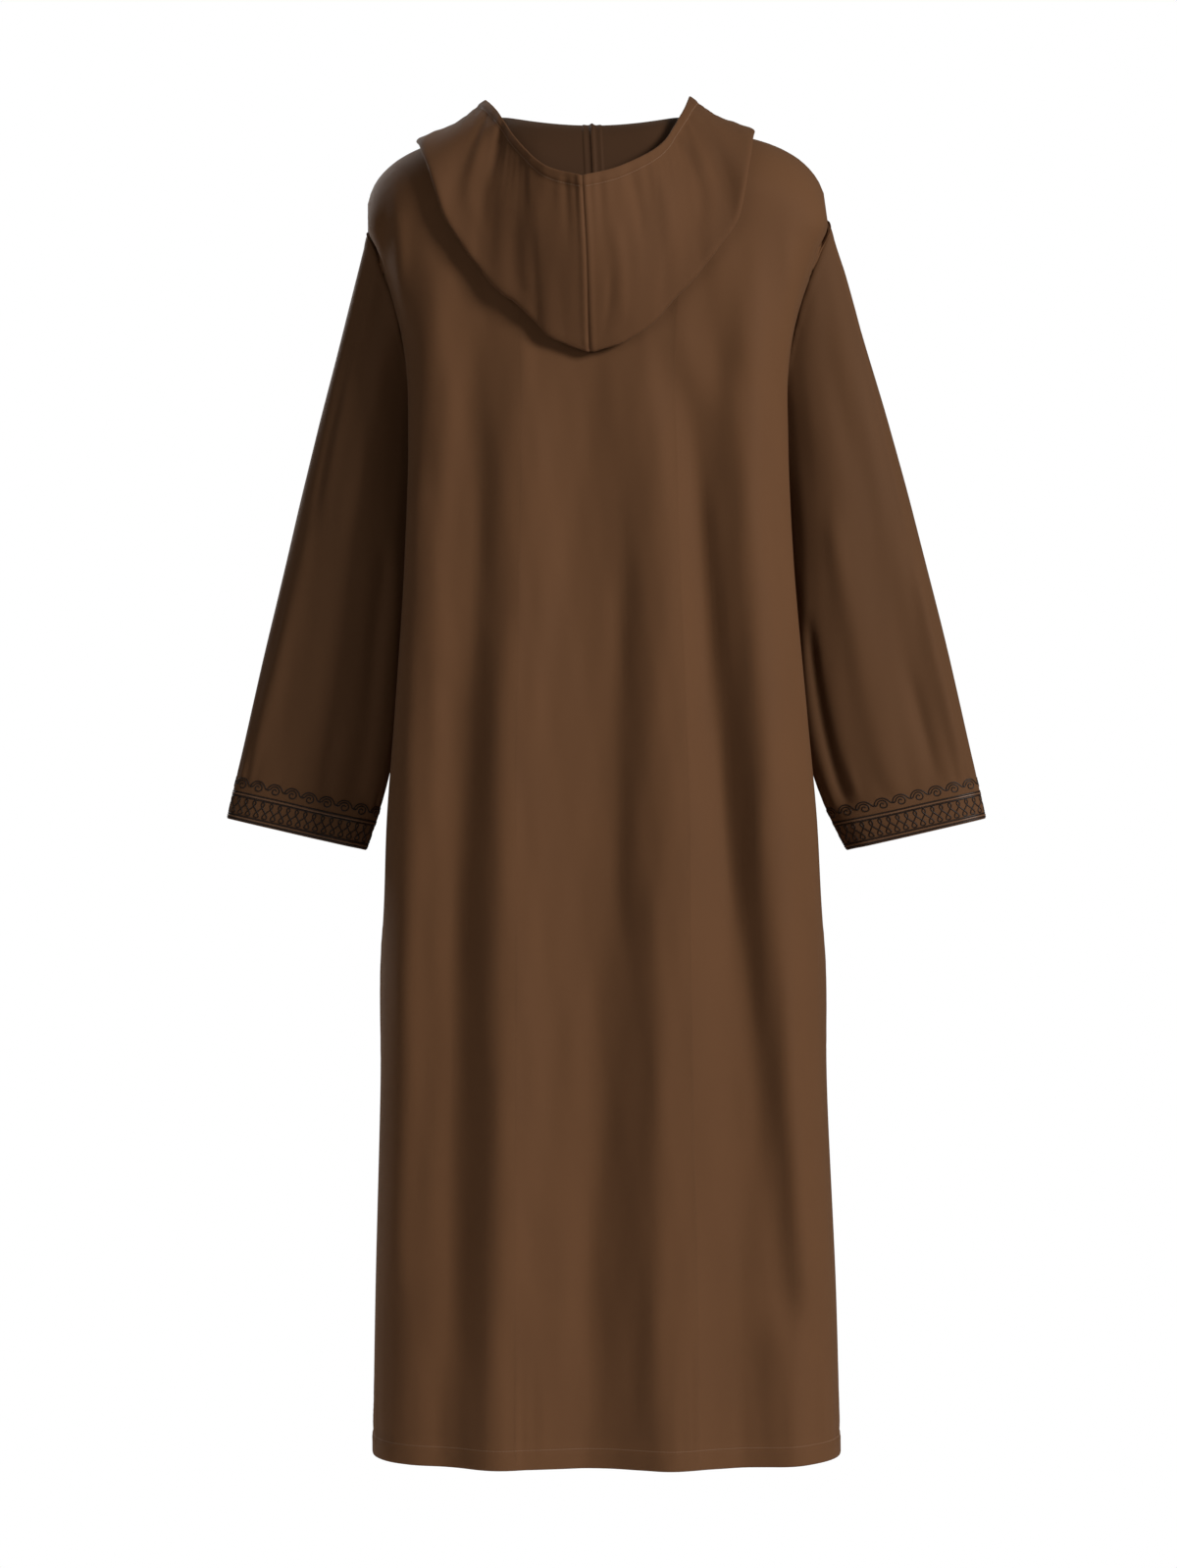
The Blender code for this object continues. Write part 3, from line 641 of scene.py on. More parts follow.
    def armhole(self, turn: Array, side: Side, face: Face) -> Array:
        """Points of the armhole's edge.

        Args:
            turn: place along the edge, 0 at its top and 1 at the underarm.
            side: side of the wearer.
            face: which panel.

        Returns:
            The points.
        """
        down = (1 - np.cos(np.pi * turn)) / 2
        top = self.crest(self.tip_share, side, face)
        share = self.armhole_share(turn)
        x, y = self.hang(share, side, face, self.armhole_depth * down - top)
        return np.stack([x, y * quarter(down / self.armhole_turn), top - self.armhole_depth * down], axis=-1)


@dataclass(frozen=True)
class Seam:
    """How cloth dips where it is sewn: a groove along the edge, with a soft swelling beside it, and small
    puckers along it where the stitches draw it in."""

    depth: float = 0.0016
    width: float = 0.0030
    swelling: float = 0.0007
    swelling_place: float = 2.6  # in widths of the groove, as is the next
    swelling_width: float = 1.6
    pucker: float = 0.0003
    pucker_reach: float = 0.008

    def height(self, distance: Array, along: Array) -> Array:
        """Height of the cloth, from how far the seam is and how far along it. The puckers are a quick sine
        whose own phase and size sway with slower ones.

        Args:
            distance: from the seam.
            along: distance along it.

        Returns:
            How far the cloth stands out.
        """
        beside = distance - self.swelling_place * self.width
        swelling = self.swelling * bump(beside, self.swelling_width * self.width)
        groove = self.depth * bump(distance, self.width)
        pucker = np.sin(310 * along + 2.1 * np.sin(83 * along)) * (0.6 + 0.4 * np.sin(47 * along + 1.0))
        return swelling - groove + self.pucker * pucker * bump(distance, self.pucker_reach)


@dataclass(frozen=True)
class Hem:
    """A turned and topstitched edge: how far it is turned under, the gap between its layers, and its
    stitching."""

    turning: float
    row_step: float = 0.0016
    gap: float = 0.0013
    dent: float = 0.0007
    dent_width: float = 0.0016
    swelling: float = 0.0006
    pucker: float = 0.00035
    pucker_reach: float = 0.010
    margins: tuple[float, float] = (0.004, 0.005)
    stitch_pitch: float = 0.0034
    stitch_length: float = 0.0024
    stitch_width: float = 0.0007

    @property
    def rows(self) -> int:
        """Rows of the turning."""
        return int(round(self.turning / self.row_step))

    def ladder(self, length: Array, steps: int) -> Array:
        """Heights of rows down a length: even steps, then the turning's own short ones.

        Args:
            length: of each column, down to the edge.
            steps: how many even steps.

        Returns:
            Heights (rows, columns), starting at 0.
        """
        even = np.linspace(0, 1, steps + 1)[:, None] * (length - self.turning)
        short = (length - self.turning) + np.arange(1, self.rows + 1)[:, None] * self.turning / self.rows
        return np.concatenate([even, short])

    def pressed(self, grid: Grid) -> Grid:
        """The grid with its stitching line dented and its turning swollen a little. It is puckered between
        the stitches, by two quick sines whose phases sway.

        Args:
            grid: the sheet, its edge the last row.

        Returns:
            The changed sheet.
        """
        distance = (len(grid.points) - 1 - np.arange(len(grid.points)))[:, None] * self.row_step
        along = grid.texture[..., 0]
        dent = -self.dent * bump(distance - self.turning, self.dent_width)
        full = self.swelling * ease((self.turning - distance) / 0.005) * ease((distance + 0.002) / 0.004)
        quick = np.sin(420 * along + 3.0 * np.sin(61 * along))
        slow = 0.7 * np.sin(190 * along + 2.0 * np.sin(37 * along))
        pucker = self.pucker * (quick + slow) * bump(distance - self.turning, self.pucker_reach)
        return grid.moved(dent + full + pucker)

    def stitches(self, grid: Grid, lift: float) -> tuple:
        """Small stitches along the topstitch line, each a short capsule lying in the cloth.

        Args:
            grid: the sheet before it is turned under, its edge the last row.
            lift: of a stitch's middle over the cloth's.

        Returns:
            The points and quads of them all.
        """
        row = -self.rows - 1
        line, out = grid.points[row], grid.normals()[row]
        reach = walked(line)
        starts = np.arange(self.margins[0], reach[-1] - self.margins[1], self.stitch_pitch)
        at = starts[:, None] + np.linspace(0, self.stitch_length, 4)
        path = np.stack([np.interp(at, reach, line[:, n]) for n in range(3)], axis=-1)
        outward = unit(np.stack([np.interp(at, reach, out[:, n]) for n in range(3)], axis=-1))
        sink = np.array([-0.5, 0.2, 0.2, -0.5])[None, :, None] * self.stitch_width
        path = path + outward * (lift + sink)
        return cords(path, outward, self.stitch_width, self.stitch_width, closed=False)


# --- sub-assemblies -------------------------------------------------------------------------------
@dataclass
class Finishes:
    """The materials of the robe, one for each kind of cloth and thread, and a darker copy of the hood cloth
    that paints the shade inside the hood.
    """

    body: bpy.types.Material
    sleeve: bpy.types.Material
    hood: bpy.types.Material
    hood_inside_painted_shade: bpy.types.Material
    thread: bpy.types.Material
    satin: bpy.types.Material
    topstitch: bpy.types.Material


def give(piece: bpy.types.Object, slot: Slot, *nodes: str) -> bpy.types.Object:
    """Let a piece ride on the robe's one body in place of CAD nodes, and report it.

    Args:
        piece: the object.
        slot: not used.
        nodes: the CAD nodes that it stands for.

    Returns:
        The same object.
    """
    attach(piece, "root")
    if nodes:
        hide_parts(*nodes)
    LOG.info("%s: %d faces", piece.name, len(piece.data.polygons))
    return piece


def topstitch(name: str, hem: Hem, grid: Grid, lift: float, finish: bpy.types.Material) -> bpy.types.Object:
    """The object of a hem's stitches.

    Args:
        name: the object's name.
        hem: the hem.
        grid: the sheet before it is turned under.
        lift: of a stitch's middle over the cloth's.
        finish: its material.

    Returns:
        The object.
    """
    points, quads = hem.stitches(grid, lift)
    made = mesh_object(name, points, quads)
    made.data.materials.append(finish)
    return made


@dataclass
class BodyPanel:
    """The back or the front of the body: one sheet from the shoulders to the turned hem."""

    face: Face
    form: BodyForm
    finishes: Finishes
    neck_columns: int = 22
    shoulder_columns: int = 24
    armhole_columns: int = 40
    even_rows: int = 196
    shoulder_gather: float = 1.25
    armhole_gather: float = 1.2
    row_gather: float = 0.9
    armhole_reach: float = 1.2
    thickness: float = 0.0010
    hem: Hem = Hem(turning=0.0195)
    seam: Seam = Seam()

    @property
    def node(self) -> str:
        """The CAD node that the panel stands for."""
        return self.face.name.lower()

    def half(self, side: Side) -> Array:
        """Points of one half: rows from the top edge to the hem, and columns from the centre to the side
        seam, closer together at the armhole. Those below it start on its edge, and are drawn smoothly onto
        it.

        Args:
            side: side of the wearer.

        Returns:
            The points (rows, columns, 3).
        """
        form = self.form
        neck = form.neck_share * np.sin(np.linspace(0, np.pi / 2, self.neck_columns + 1))
        out = np.linspace(0, 1, self.shoulder_columns + 1)[1:]
        shoulder = neck[-1] + (form.tip_share - neck[-1]) * (1 - (1 - out) ** self.shoulder_gather)
        shares = np.concatenate([neck, shoulder])
        turn = 1 - (1 - np.linspace(0, 1, self.armhole_columns + 1)[1:]) ** self.armhole_gather
        top = form.crest(shares, side, self.face)
        length = form.hem_side + form.hem_drop * (1 - shares**4) + top
        below = self.falls(length, early=1 + self.row_gather)
        open_part = form.point(shares, side, self.face, below)

        edge = form.armhole(turn, side, self.face)
        shares = form.armhole_share(turn)
        length = form.hem_side + form.hem_drop * (1 - shares**4) + edge[:, 2]
        below = self.falls(length, early=1 + self.row_gather * (1 - ease(turn * 3)))
        x, y = form.hang(shares, side, self.face, below - edge[:, 2])
        under = np.stack([x, y, edge[:, 2] - below], axis=-1)
        under += (edge - under[0]) * (1 - ease(below / (self.armhole_reach * form.armhole_round)))[..., None]
        return np.concatenate([open_part, under], axis=1)

    def falls(self, length: Array, early: Array) -> Array:
        """Heights of the rows below the top edge, closer together near the top where early is over 1.

        Args:
            length: of each column, from the top edge to the hem.
            early: power that gathers the rows of each column.

        Returns:
            Heights (rows, columns).
        """
        rows = self.hem.ladder(length, self.even_rows)
        even = np.clip(rows / (length - self.hem.turning), 0, 1)
        return np.where(even < 1, even**early * (length - self.hem.turning), rows)

    def seam_height(self, grid: Grid) -> Array:
        """Height of the cloth beside its seams: the top edge past the neck and armholes, and the side
        seams.

        Args:
            grid: the panel.

        Returns:
            How far the cloth stands out.
        """
        across, down = grid.texture[..., 0], -grid.texture[..., 1]
        from_left, from_right = across[:, -1:] - across, across - across[:, :1]
        sides = self.seam.height(from_left, down) + self.seam.height(from_right, down)
        return sides + self.seam.height(down, across)

    def build(self) -> Grid:
        """The sheet before its hem is turned under."""
        right, left = self.half(Side.RIGHT), self.half(Side.LEFT)
        points = np.concatenate([right[:, :0:-1], left], axis=1)
        grid = Grid(points, flat_places(points), flipped=self.face is Face.FRONT)
        return self.hem.pressed(grid.moved(self.seam_height(grid)))

    def dress(self) -> None:
        """Make the panel and its hem's stitching."""
        grid = self.build()
        whole = grid.turned_under(self.hem.rows, self.hem.gap)
        panel = cloth_object(self.node + "_panel", whole, self.thickness, self.finishes.body)
        give(panel, Slot.BODY, self.node)
        name = self.node + "_hem_stitches"
        stitches = topstitch(name, self.hem, grid, self.thickness / 2, self.finishes.topstitch)
        give(stitches, Slot.BODY)


@dataclass(frozen=True)
class Cut:
    """A piece of cloth before it is sewn: the rectangle it is cut from, and its own flat area."""

    flat: tuple[float, float]
    area: float


@dataclass(frozen=True)
class SleeveShape:
    """Sizes of one sleeve's tube: the corners of its end, how it bows and sags, and its creases, which run
    along it from the shoulder down, and across from its underarm seam, where a whole turn round is 1."""

    end_out: tuple[float, float]
    end_in: tuple[float, float]
    bow: float
    sag: float
    creases: Creases


SLEEVE_SHAPES = {
    Side.LEFT: SleeveShape(
        end_out=(0.394, 0.751),
        end_in=(0.246, 0.785),
        bow=0.003,
        sag=0.014,
        creases=Creases(
            # start, end (shares of the length), top_x, end_x (of the turn), bow, width, top_rise, end_rise
            (
                (-0.10, 0.50, 0.40, 0.37, 0.010, 0.022, -0.0030, -0.0022),
                (0.05, 0.88, 0.30, 0.27, -0.015, 0.040, 0.0035, 0.0028),
                (0.30, 0.97, 0.17, 0.14, 0.010, 0.030, -0.0035, -0.0040),
                (0.42, 0.96, 0.38, 0.40, -0.010, 0.030, 0.0026, 0.0030),
                (0.70, 0.94, 0.22, 0.23, 0.004, 0.016, -0.0016, -0.0022),
                (0.00, 0.80, 0.66, 0.70, 0.012, 0.035, 0.0030, 0.0030),
                (0.20, 0.95, 0.80, 0.78, -0.010, 0.030, -0.0030, -0.0034),
                (0.50, 0.96, 0.90, 0.93, 0.008, 0.025, 0.0026, 0.0026),
            ),
            fade=0.12,
        ),
    ),
    Side.RIGHT: SleeveShape(
        end_out=(0.420, 0.751),
        end_in=(0.272, 0.785),
        bow=0.009,
        sag=0.024,
        creases=Creases(
            (
                (-0.10, 0.55, 0.42, 0.40, 0.008, 0.016, 0.0030, 0.0016),
                (0.02, 0.90, 0.31, 0.33, -0.015, 0.040, -0.0030, -0.0030),
                (0.30, 0.97, 0.22, 0.235, 0.008, 0.026, 0.0038, 0.0040),
                (0.45, 0.98, 0.11, 0.125, 0.006, 0.022, -0.0045, -0.0055),
                (0.52, 0.97, 0.40, 0.405, -0.006, 0.024, 0.0036, 0.0040),
                (0.66, 0.97, 0.31, 0.32, 0.004, 0.018, -0.0026, -0.0040),
                (0.78, 0.95, 0.17, 0.165, -0.003, 0.012, 0.0018, 0.0024),
                (0.00, 0.85, 0.64, 0.68, 0.012, 0.034, 0.0030, 0.0030),
                (0.25, 0.96, 0.79, 0.77, -0.010, 0.030, -0.0034, -0.0036),
                (0.55, 0.97, 0.88, 0.91, 0.008, 0.024, 0.0030, 0.0030),
            ),
            fade=0.12,
        ),
    ),
}


@dataclass
class Sleeve:
    """A set-in sleeve: a tube from the armhole to its turned end, straight across at the back of the
    hand."""

    side: Side
    form: BodyForm
    finishes: Finishes
    columns: int = 168
    even_rows: int = 112
    band_rows: int = 38
    band_width: float = 0.047
    thick_top: float = 0.046
    thick_end: float = 0.027
    forward: float = 0.016
    power: float = 2.3
    thickness: float = 0.0010
    turning_rows: int = 9
    gap: float = 0.0013
    seam: Seam = Seam()
    # shares of the length: how far the armhole's own curve is felt, and where the creases start
    ring_reach: float = 0.45
    crease_start: float = 0.08
    sag_power: float = 2.2
    ripple: float = 0.0007
    ripple_turn: float = 0.35
    under_seam_turn: float = 0.34
    under_seam_share: float = 0.6
    band_calm: float = 0.75
    band_swelling: float = 0.0004
    pucker: float = 0.0011
    pucker_reach: float = 0.035

    @property
    def node(self) -> str:
        """The CAD node that the sleeve stands for."""
        return "sleeve_" + self.side.name.lower()

    def build(self) -> Grid:
        """The sleeve's tube. Its middle line runs straight from the armhole to the end; its rings are
        squarish ellipses that fade in from the armhole's own curve."""
        shape, sign = SLEEVE_SHAPES[self.side], self.side.value
        round_turn = np.linspace(0, 1, self.columns + 1)[:-1]
        near = np.abs(1 - 2 * round_turn)
        back = self.form.armhole(near, self.side, Face.BACK)
        front = self.form.armhole(near, self.side, Face.FRONT)
        ring = np.where((round_turn <= 0.5)[:, None], back, front)
        top = self.form.armhole(np.zeros(1), self.side, Face.BACK)[0]
        under = self.form.armhole(np.ones(1), self.side, Face.BACK)[0]

        end_out = np.array([sign * shape.end_out[0], 0, -shape.end_out[1]])
        end_in = np.array([sign * shape.end_in[0], 0, -shape.end_in[1]])
        angle = 2 * np.pi * round_turn
        along = np.sign(np.cos(angle)) * np.abs(np.cos(angle)) ** (2 / self.power)
        deep = np.sign(np.sin(angle)) * np.abs(np.sin(angle)) ** (2 / self.power)

        def tube(t: Array) -> Array:
            """The squarish ellipses, t of the way down.

            Args:
                t: places down the sleeve, 0 to 1.

            Returns:
                The points (rows, columns, 3).
            """
            none = 0 * t
            forward = self.forward * t * t
            bow = sign * shape.bow * np.sin(np.pi * t)
            sag = sign * shape.sag * np.sin(np.pi * t**self.sag_power)
            outer = top + (end_out - top) * t[..., None] + np.stack([bow, -forward, none], axis=-1)
            inner = under + (end_in - under) * t[..., None] - np.stack([sag, forward, none], axis=-1)
            found = (outer + inner) / 2 + along[:, None] * (inner - outer) / 2
            found[..., 1] += deep * (self.thick_top + (self.thick_end - self.thick_top) * ease(t))
            return found

        end = tube(np.ones((1, self.columns)))[0]
        band = 1 - self.band_width / np.linalg.norm(end - ring, axis=1)
        even = np.linspace(0, 1, self.even_rows + 1)[:, None] * band
        close = 1 - (1 - band) * (1 - np.linspace(0, 1, self.band_rows + 1)[1:, None])
        t = np.concatenate([even, close])
        points = tube(t) + (ring - tube(0 * t[:1])) * (1 - ease(t / self.ring_reach))[..., None]

        places = flat_places(points)
        grid = Grid(points, places, wrapped=True, flipped=self.side is Side.RIGHT)
        turns, down = np.broadcast_to(round_turn, t.shape), -places[..., 1]
        height = shape.creases.height(turns, t) * ease(t / self.crease_start)
        height = height * (1 - self.band_calm * ease((t - band + 0.02) / 0.05))
        height = height + Ripple(self.ripple).height(turns * self.ripple_turn, down)
        height = height + self.seam.height(down, places[..., 0])
        height = height + self.draw_in(turns, t, band)
        under_seam = np.minimum(turns, 1 - turns) * self.under_seam_turn
        return grid.moved(height + self.under_seam_share * self.seam.height(under_seam, down))

    def draw_in(self, turns: Array, t: Array, band: Array) -> Array:
        """Small puckers that run up from the stiff embroidered band, and the slight swell of the band
        itself.

        Args:
            turns: place round the sleeve, 0 to 1 from the underarm.
            t: place down it, 0 to 1.
            band: where the band starts, in t.

        Returns:
            How far the cloth stands out.
        """
        wave = np.sin(2 * np.pi * 23 * turns + 2.5 * np.sin(2 * np.pi * 3 * turns))
        wave = wave * (0.55 + 0.45 * np.sin(2 * np.pi * 5 * turns + 0.7))
        over = band + 0.012 - t
        above = ease(over / 0.02) * np.exp(-np.clip(over, 0, 1) / self.pucker_reach)
        return self.pucker * wave * above + self.band_swelling * ease((t - band) / 0.02)

    def dress(self) -> Grid:
        """Make the sleeve; its grid before the end is turned under is what the embroidery lies on."""
        grid = self.build()
        whole = grid.turned_under(self.turning_rows, self.gap)
        tube = cloth_object(self.node + "_tube", whole, self.thickness, self.finishes.sleeve)
        give(tube, Slot.SLEEVE, self.node)
        return grid


@dataclass
class Embroidery:
    """The stitched band round a sleeve's end: double lines with a satin stripe between, a row of interlaced
    loops, and a running scroll above. The design is drawn as heights over the sleeve's end and distances
    round it."""

    sleeve: Sleeve
    cloth: Grid
    finishes: Finishes
    scroll_count: int = 19
    lattice_count: int = 38
    line_heights: tuple[float, ...] = (0.0011, 0.0053, 0.0262, 0.0302)
    stripe_heights: tuple[float, ...] = (0.0031, 0.0282)
    lattice_foot: float = 0.0072
    lattice_head: float = 0.0247
    scroll_foot: float = 0.0335
    scroll_head: float = 0.0462
    cord_width: float = 0.00140
    cord_height: float = 0.0009
    cord_sink: float = 0.15
    line_width: float = 1.25  # in widths of a cord
    stripe_width: float = 0.0023
    stripe_height: float = 1.3  # in heights of a cord
    ring_points: int = 240
    lattice_points: int = 56
    loop_swing: tuple[float, float] = (0.335, 0.065)  # shares of the repeat
    scroll_points: int = 76
    hook: tuple[tuple[float, float], ...] = ((0.16, 0.50), (0.13, 0.42), (0.07, 0.44), (0.06, 0.58))
    crest: tuple[tuple[float, float], ...] = (
        # shares of the repeat and of the scroll's height, as in hook
        (0.15, 0.80),
        (0.30, 0.96),
        (0.48, 1.0),
        (0.66, 0.94),
        (0.82, 0.74),
        (0.93, 0.52),
    )
    spiral_neck: tuple[float, float] = (1.01, 0.44)
    spiral_middle: tuple[float, float] = (1.49, 0.43)
    spiral_angles: tuple[float, float] = (205.0, 560.0)  # where it starts and how far it winds, degrees
    spiral_radii: tuple[float, float] = (0.43, 0.35)  # the first, and how much it shrinks, of the height
    spiral_power: float = 1.3

    def place(self, round_share: Array, height: Array, lift: float) -> tuple[Array, Array]:
        """Points over the sleeve's end, and the outward direction there.

        Args:
            round_share: place round the end, a share of the whole turn from the underarm.
            height: above the end.
            lift: over the middle of the cloth.

        Returns:
            The points and the directions.
        """
        points, out = self.cloth.points, self.cloth.normals()
        last, rows = len(points) - 1, self.sleeve.band_rows
        step = np.linalg.norm(points[last] - points[last - rows], axis=-1).mean() / rows
        ring = np.concatenate([points[last], points[last, :1]])
        reach = walked(ring)
        column = np.interp(np.mod(round_share, 1.0) * reach[-1], reach, np.arange(len(ring)))
        row = np.clip(last - height / step, 0, last - 1e-6)
        i, j = row.astype(int), column.astype(int)
        u, v = (row - i)[..., None], (column - j)[..., None]
        k, n = (j + 1) % points.shape[1], j % points.shape[1]

        def mix(values: Array) -> Array:
            """The values there: each blends those at the four points of the grid about it, by nearness.

            Args:
                values: one for each of the grid's points.

            Returns:
                The blends.
            """
            near = values[i, n] * (1 - v) + values[i, k] * v
            return near * (1 - u) + values[i + 1, n] * u + (values[i + 1, k] - values[i + 1, n]) * u * v

        outward = unit(mix(out))
        return mix(points) + outward * lift, outward

    def around(self) -> float:
        """Distance round the sleeve's end."""
        ring = self.cloth.points[-1]
        return float(np.linalg.norm(ring - np.roll(ring, 1, axis=0), axis=1).sum())

    def lattice(self) -> tuple[Array, Array]:
        """One cord's path round the end. It swings up and down once for each repeat, and swings back at
        each turn, by a sine of twice the turn that is a little larger below, so that it makes a round loop
        there and crosses itself."""
        count = self.lattice_count
        u = np.linspace(0, 2 * np.pi * count, self.lattice_points * count + 1)[:-1]
        repeat = 1 / count
        swing, more = self.loop_swing
        share = u / (2 * np.pi) * repeat - (swing - more * np.cos(u)) * repeat * np.sin(2 * u)
        middle = (self.lattice_head + self.lattice_foot) / 2
        half = (self.lattice_head - self.lattice_foot) / 2
        return share[None], (middle + half * np.cos(u))[None]

    def scrolls(self) -> tuple[Array, Array]:
        """The running scroll's cords. Each rises from a hook over a crest, falls to the next hook, and from
        there winds inwards beneath the next crest: an arch, then a spiral whose radius shrinks as it
        turns."""
        pitch = self.around() / self.scroll_count
        tall = self.scroll_head - self.scroll_foot
        scale = np.array([pitch, tall])
        arch = np.array([*self.hook, *self.crest, self.spiral_neck]) * scale
        turn = np.linspace(0, 1, 30)
        angle = np.radians(self.spiral_angles[0] - self.spiral_angles[1] * turn)
        radius = (self.spiral_radii[0] - self.spiral_radii[1] * turn**self.spiral_power) * tall
        spiral = np.stack([np.cos(angle), np.sin(angle)], axis=1) * radius[:, None]
        knots = np.concatenate([arch, (self.spiral_middle * scale + spiral)[2:]])
        reach = walked(knots)
        even = np.linspace(0, reach[-1], self.scroll_points)
        x, y = (through(reach, knots[:, n], even) for n in range(2))
        share = np.arange(self.scroll_count)[:, None] / self.scroll_count + x / self.around()
        return share, np.broadcast_to(self.scroll_foot + y, share.shape)

    def dress(self) -> None:
        """Make the band: dark cords, and two raised satin stripes close to the body cloth's colour, a little
        lighter than the sleeve cloth as a painted highlight.
        """
        way = -self.sleeve.side.value
        lift = self.sleeve.thickness / 2 + self.cord_sink * self.cord_height
        dark = []
        for (share, height), closed in ((self.lattice(), True), (self.scrolls(), False)):
            points, outward = self.place(way * share, height, lift)
            dark.append(cords(points, outward, self.cord_width, self.cord_height, closed))
        ring = np.linspace(0, 1, self.ring_points + 1)[:-1][None]

        def rounds(heights: tuple[float, ...], width: float, thick: float) -> list[tuple]:
            """Cords straight round the end at some heights.

            Args:
                heights: of the cords over the end.
                width: of a cord.
                thick: its height off the cloth.

            Returns:
                Points and quads of each.
            """
            found = []
            for height in heights:
                points, outward = self.place(way * ring, np.full_like(ring, height), lift)
                found.append(cords(points, outward, width, thick, closed=True))
            return found

        dark += rounds(self.line_heights, self.line_width * self.cord_width, self.cord_height)
        stripes = rounds(self.stripe_heights, self.stripe_width, self.stripe_height * self.cord_height)
        points, quads = join(dark + stripes)
        node = "band_" + self.sleeve.side.name.lower()
        band = mesh_object(node + "_cords", points, quads)
        band.data.materials.append(self.finishes.thread)
        band.data.materials.append(self.finishes.satin)
        satin = np.arange(len(quads)) >= sum(len(found) for _, found in dark)
        band.data.polygons.foreach_set("material_index", satin.astype(np.int32))
        give(band, Slot.THREAD, node)


# --- the hood -------------------------------------------------------------------------------------
# station: round the neck from centre back (0) over its side (0.5) to centre front (1). fold_x, fold_over: the
# folded edge, out from the centre and over the shoulder; above 0, the length of cloth from the shoulder line
# down the back, and below 0, how far forward of the origin. rim: edge of the face opening
HOOD_COLUMNS = ("station", "fold_x", "fold_over", "rim_x", "rim_y", "rim_z")
HOOD_SIZES = {
    Side.LEFT: Table(
        HOOD_COLUMNS,
        (
            (0.00, 0.000, 0.260, 0.000, 0.164, -0.084),
            (0.14, 0.058, 0.247, 0.044, 0.144, -0.069),
            (0.26, 0.108, 0.228, 0.078, 0.108, -0.036),
            (0.38, 0.150, 0.160, 0.101, 0.064, -0.003),
            (0.50, 0.183, 0.018, 0.116, 0.012, 0.016),
            (0.66, 0.158, -0.062, 0.108, -0.036, 0.012),
            (0.84, 0.084, -0.084, 0.068, -0.080, -0.030),
            (1.00, 0.000, -0.092, 0.000, -0.102, -0.074),
        ),
    ),
    Side.RIGHT: Table(
        HOOD_COLUMNS,
        (
            (0.00, 0.000, 0.260, 0.000, 0.164, -0.084),
            (0.14, 0.048, 0.250, 0.040, 0.150, -0.071),
            (0.26, 0.098, 0.232, 0.076, 0.118, -0.045),
            (0.38, 0.142, 0.160, 0.094, 0.066, -0.006),
            (0.50, 0.171, 0.018, 0.102, 0.012, 0.020),
            (0.66, 0.150, -0.062, 0.100, -0.036, 0.014),
            (0.84, 0.082, -0.084, 0.064, -0.080, -0.030),
            (1.00, 0.000, -0.092, 0.000, -0.102, -0.074),
        ),
    ),
}
# start, end (shares of the way from the neck seam to the rim), top_x, end_x (distance from centre back), bow,
# width, top_rise, end_rise
HOOD_CREASES = {
    Side.LEFT: Creases(
        (
            (0.62, 0.98, 0.070, 0.052, 0.010, 0.012, 0.0012, 0.0016),
            (0.66, 1.02, 0.150, 0.128, 0.006, 0.010, -0.0018, -0.0026),
            (0.64, 1.02, 0.178, 0.152, 0.006, 0.010, 0.0016, 0.0028),
        ),
        fade=0.08,
    ),
    Side.RIGHT: Creases(
        (
            (0.62, 0.80, 0.016, 0.026, 0.003, 0.005, -0.0012, -0.0014),
            (0.62, 0.90, 0.036, 0.030, 0.004, 0.008, 0.0016, 0.0020),
            (0.78, 1.02, 0.064, 0.050, 0.005, 0.008, -0.0020, -0.0026),
            (0.70, 1.02, 0.098, 0.080, 0.008, 0.011, 0.0024, 0.0030),
            (0.66, 1.02, 0.160, 0.138, 0.006, 0.010, -0.0022, -0.0034),
        ),
        fade=0.08,
    ),
}


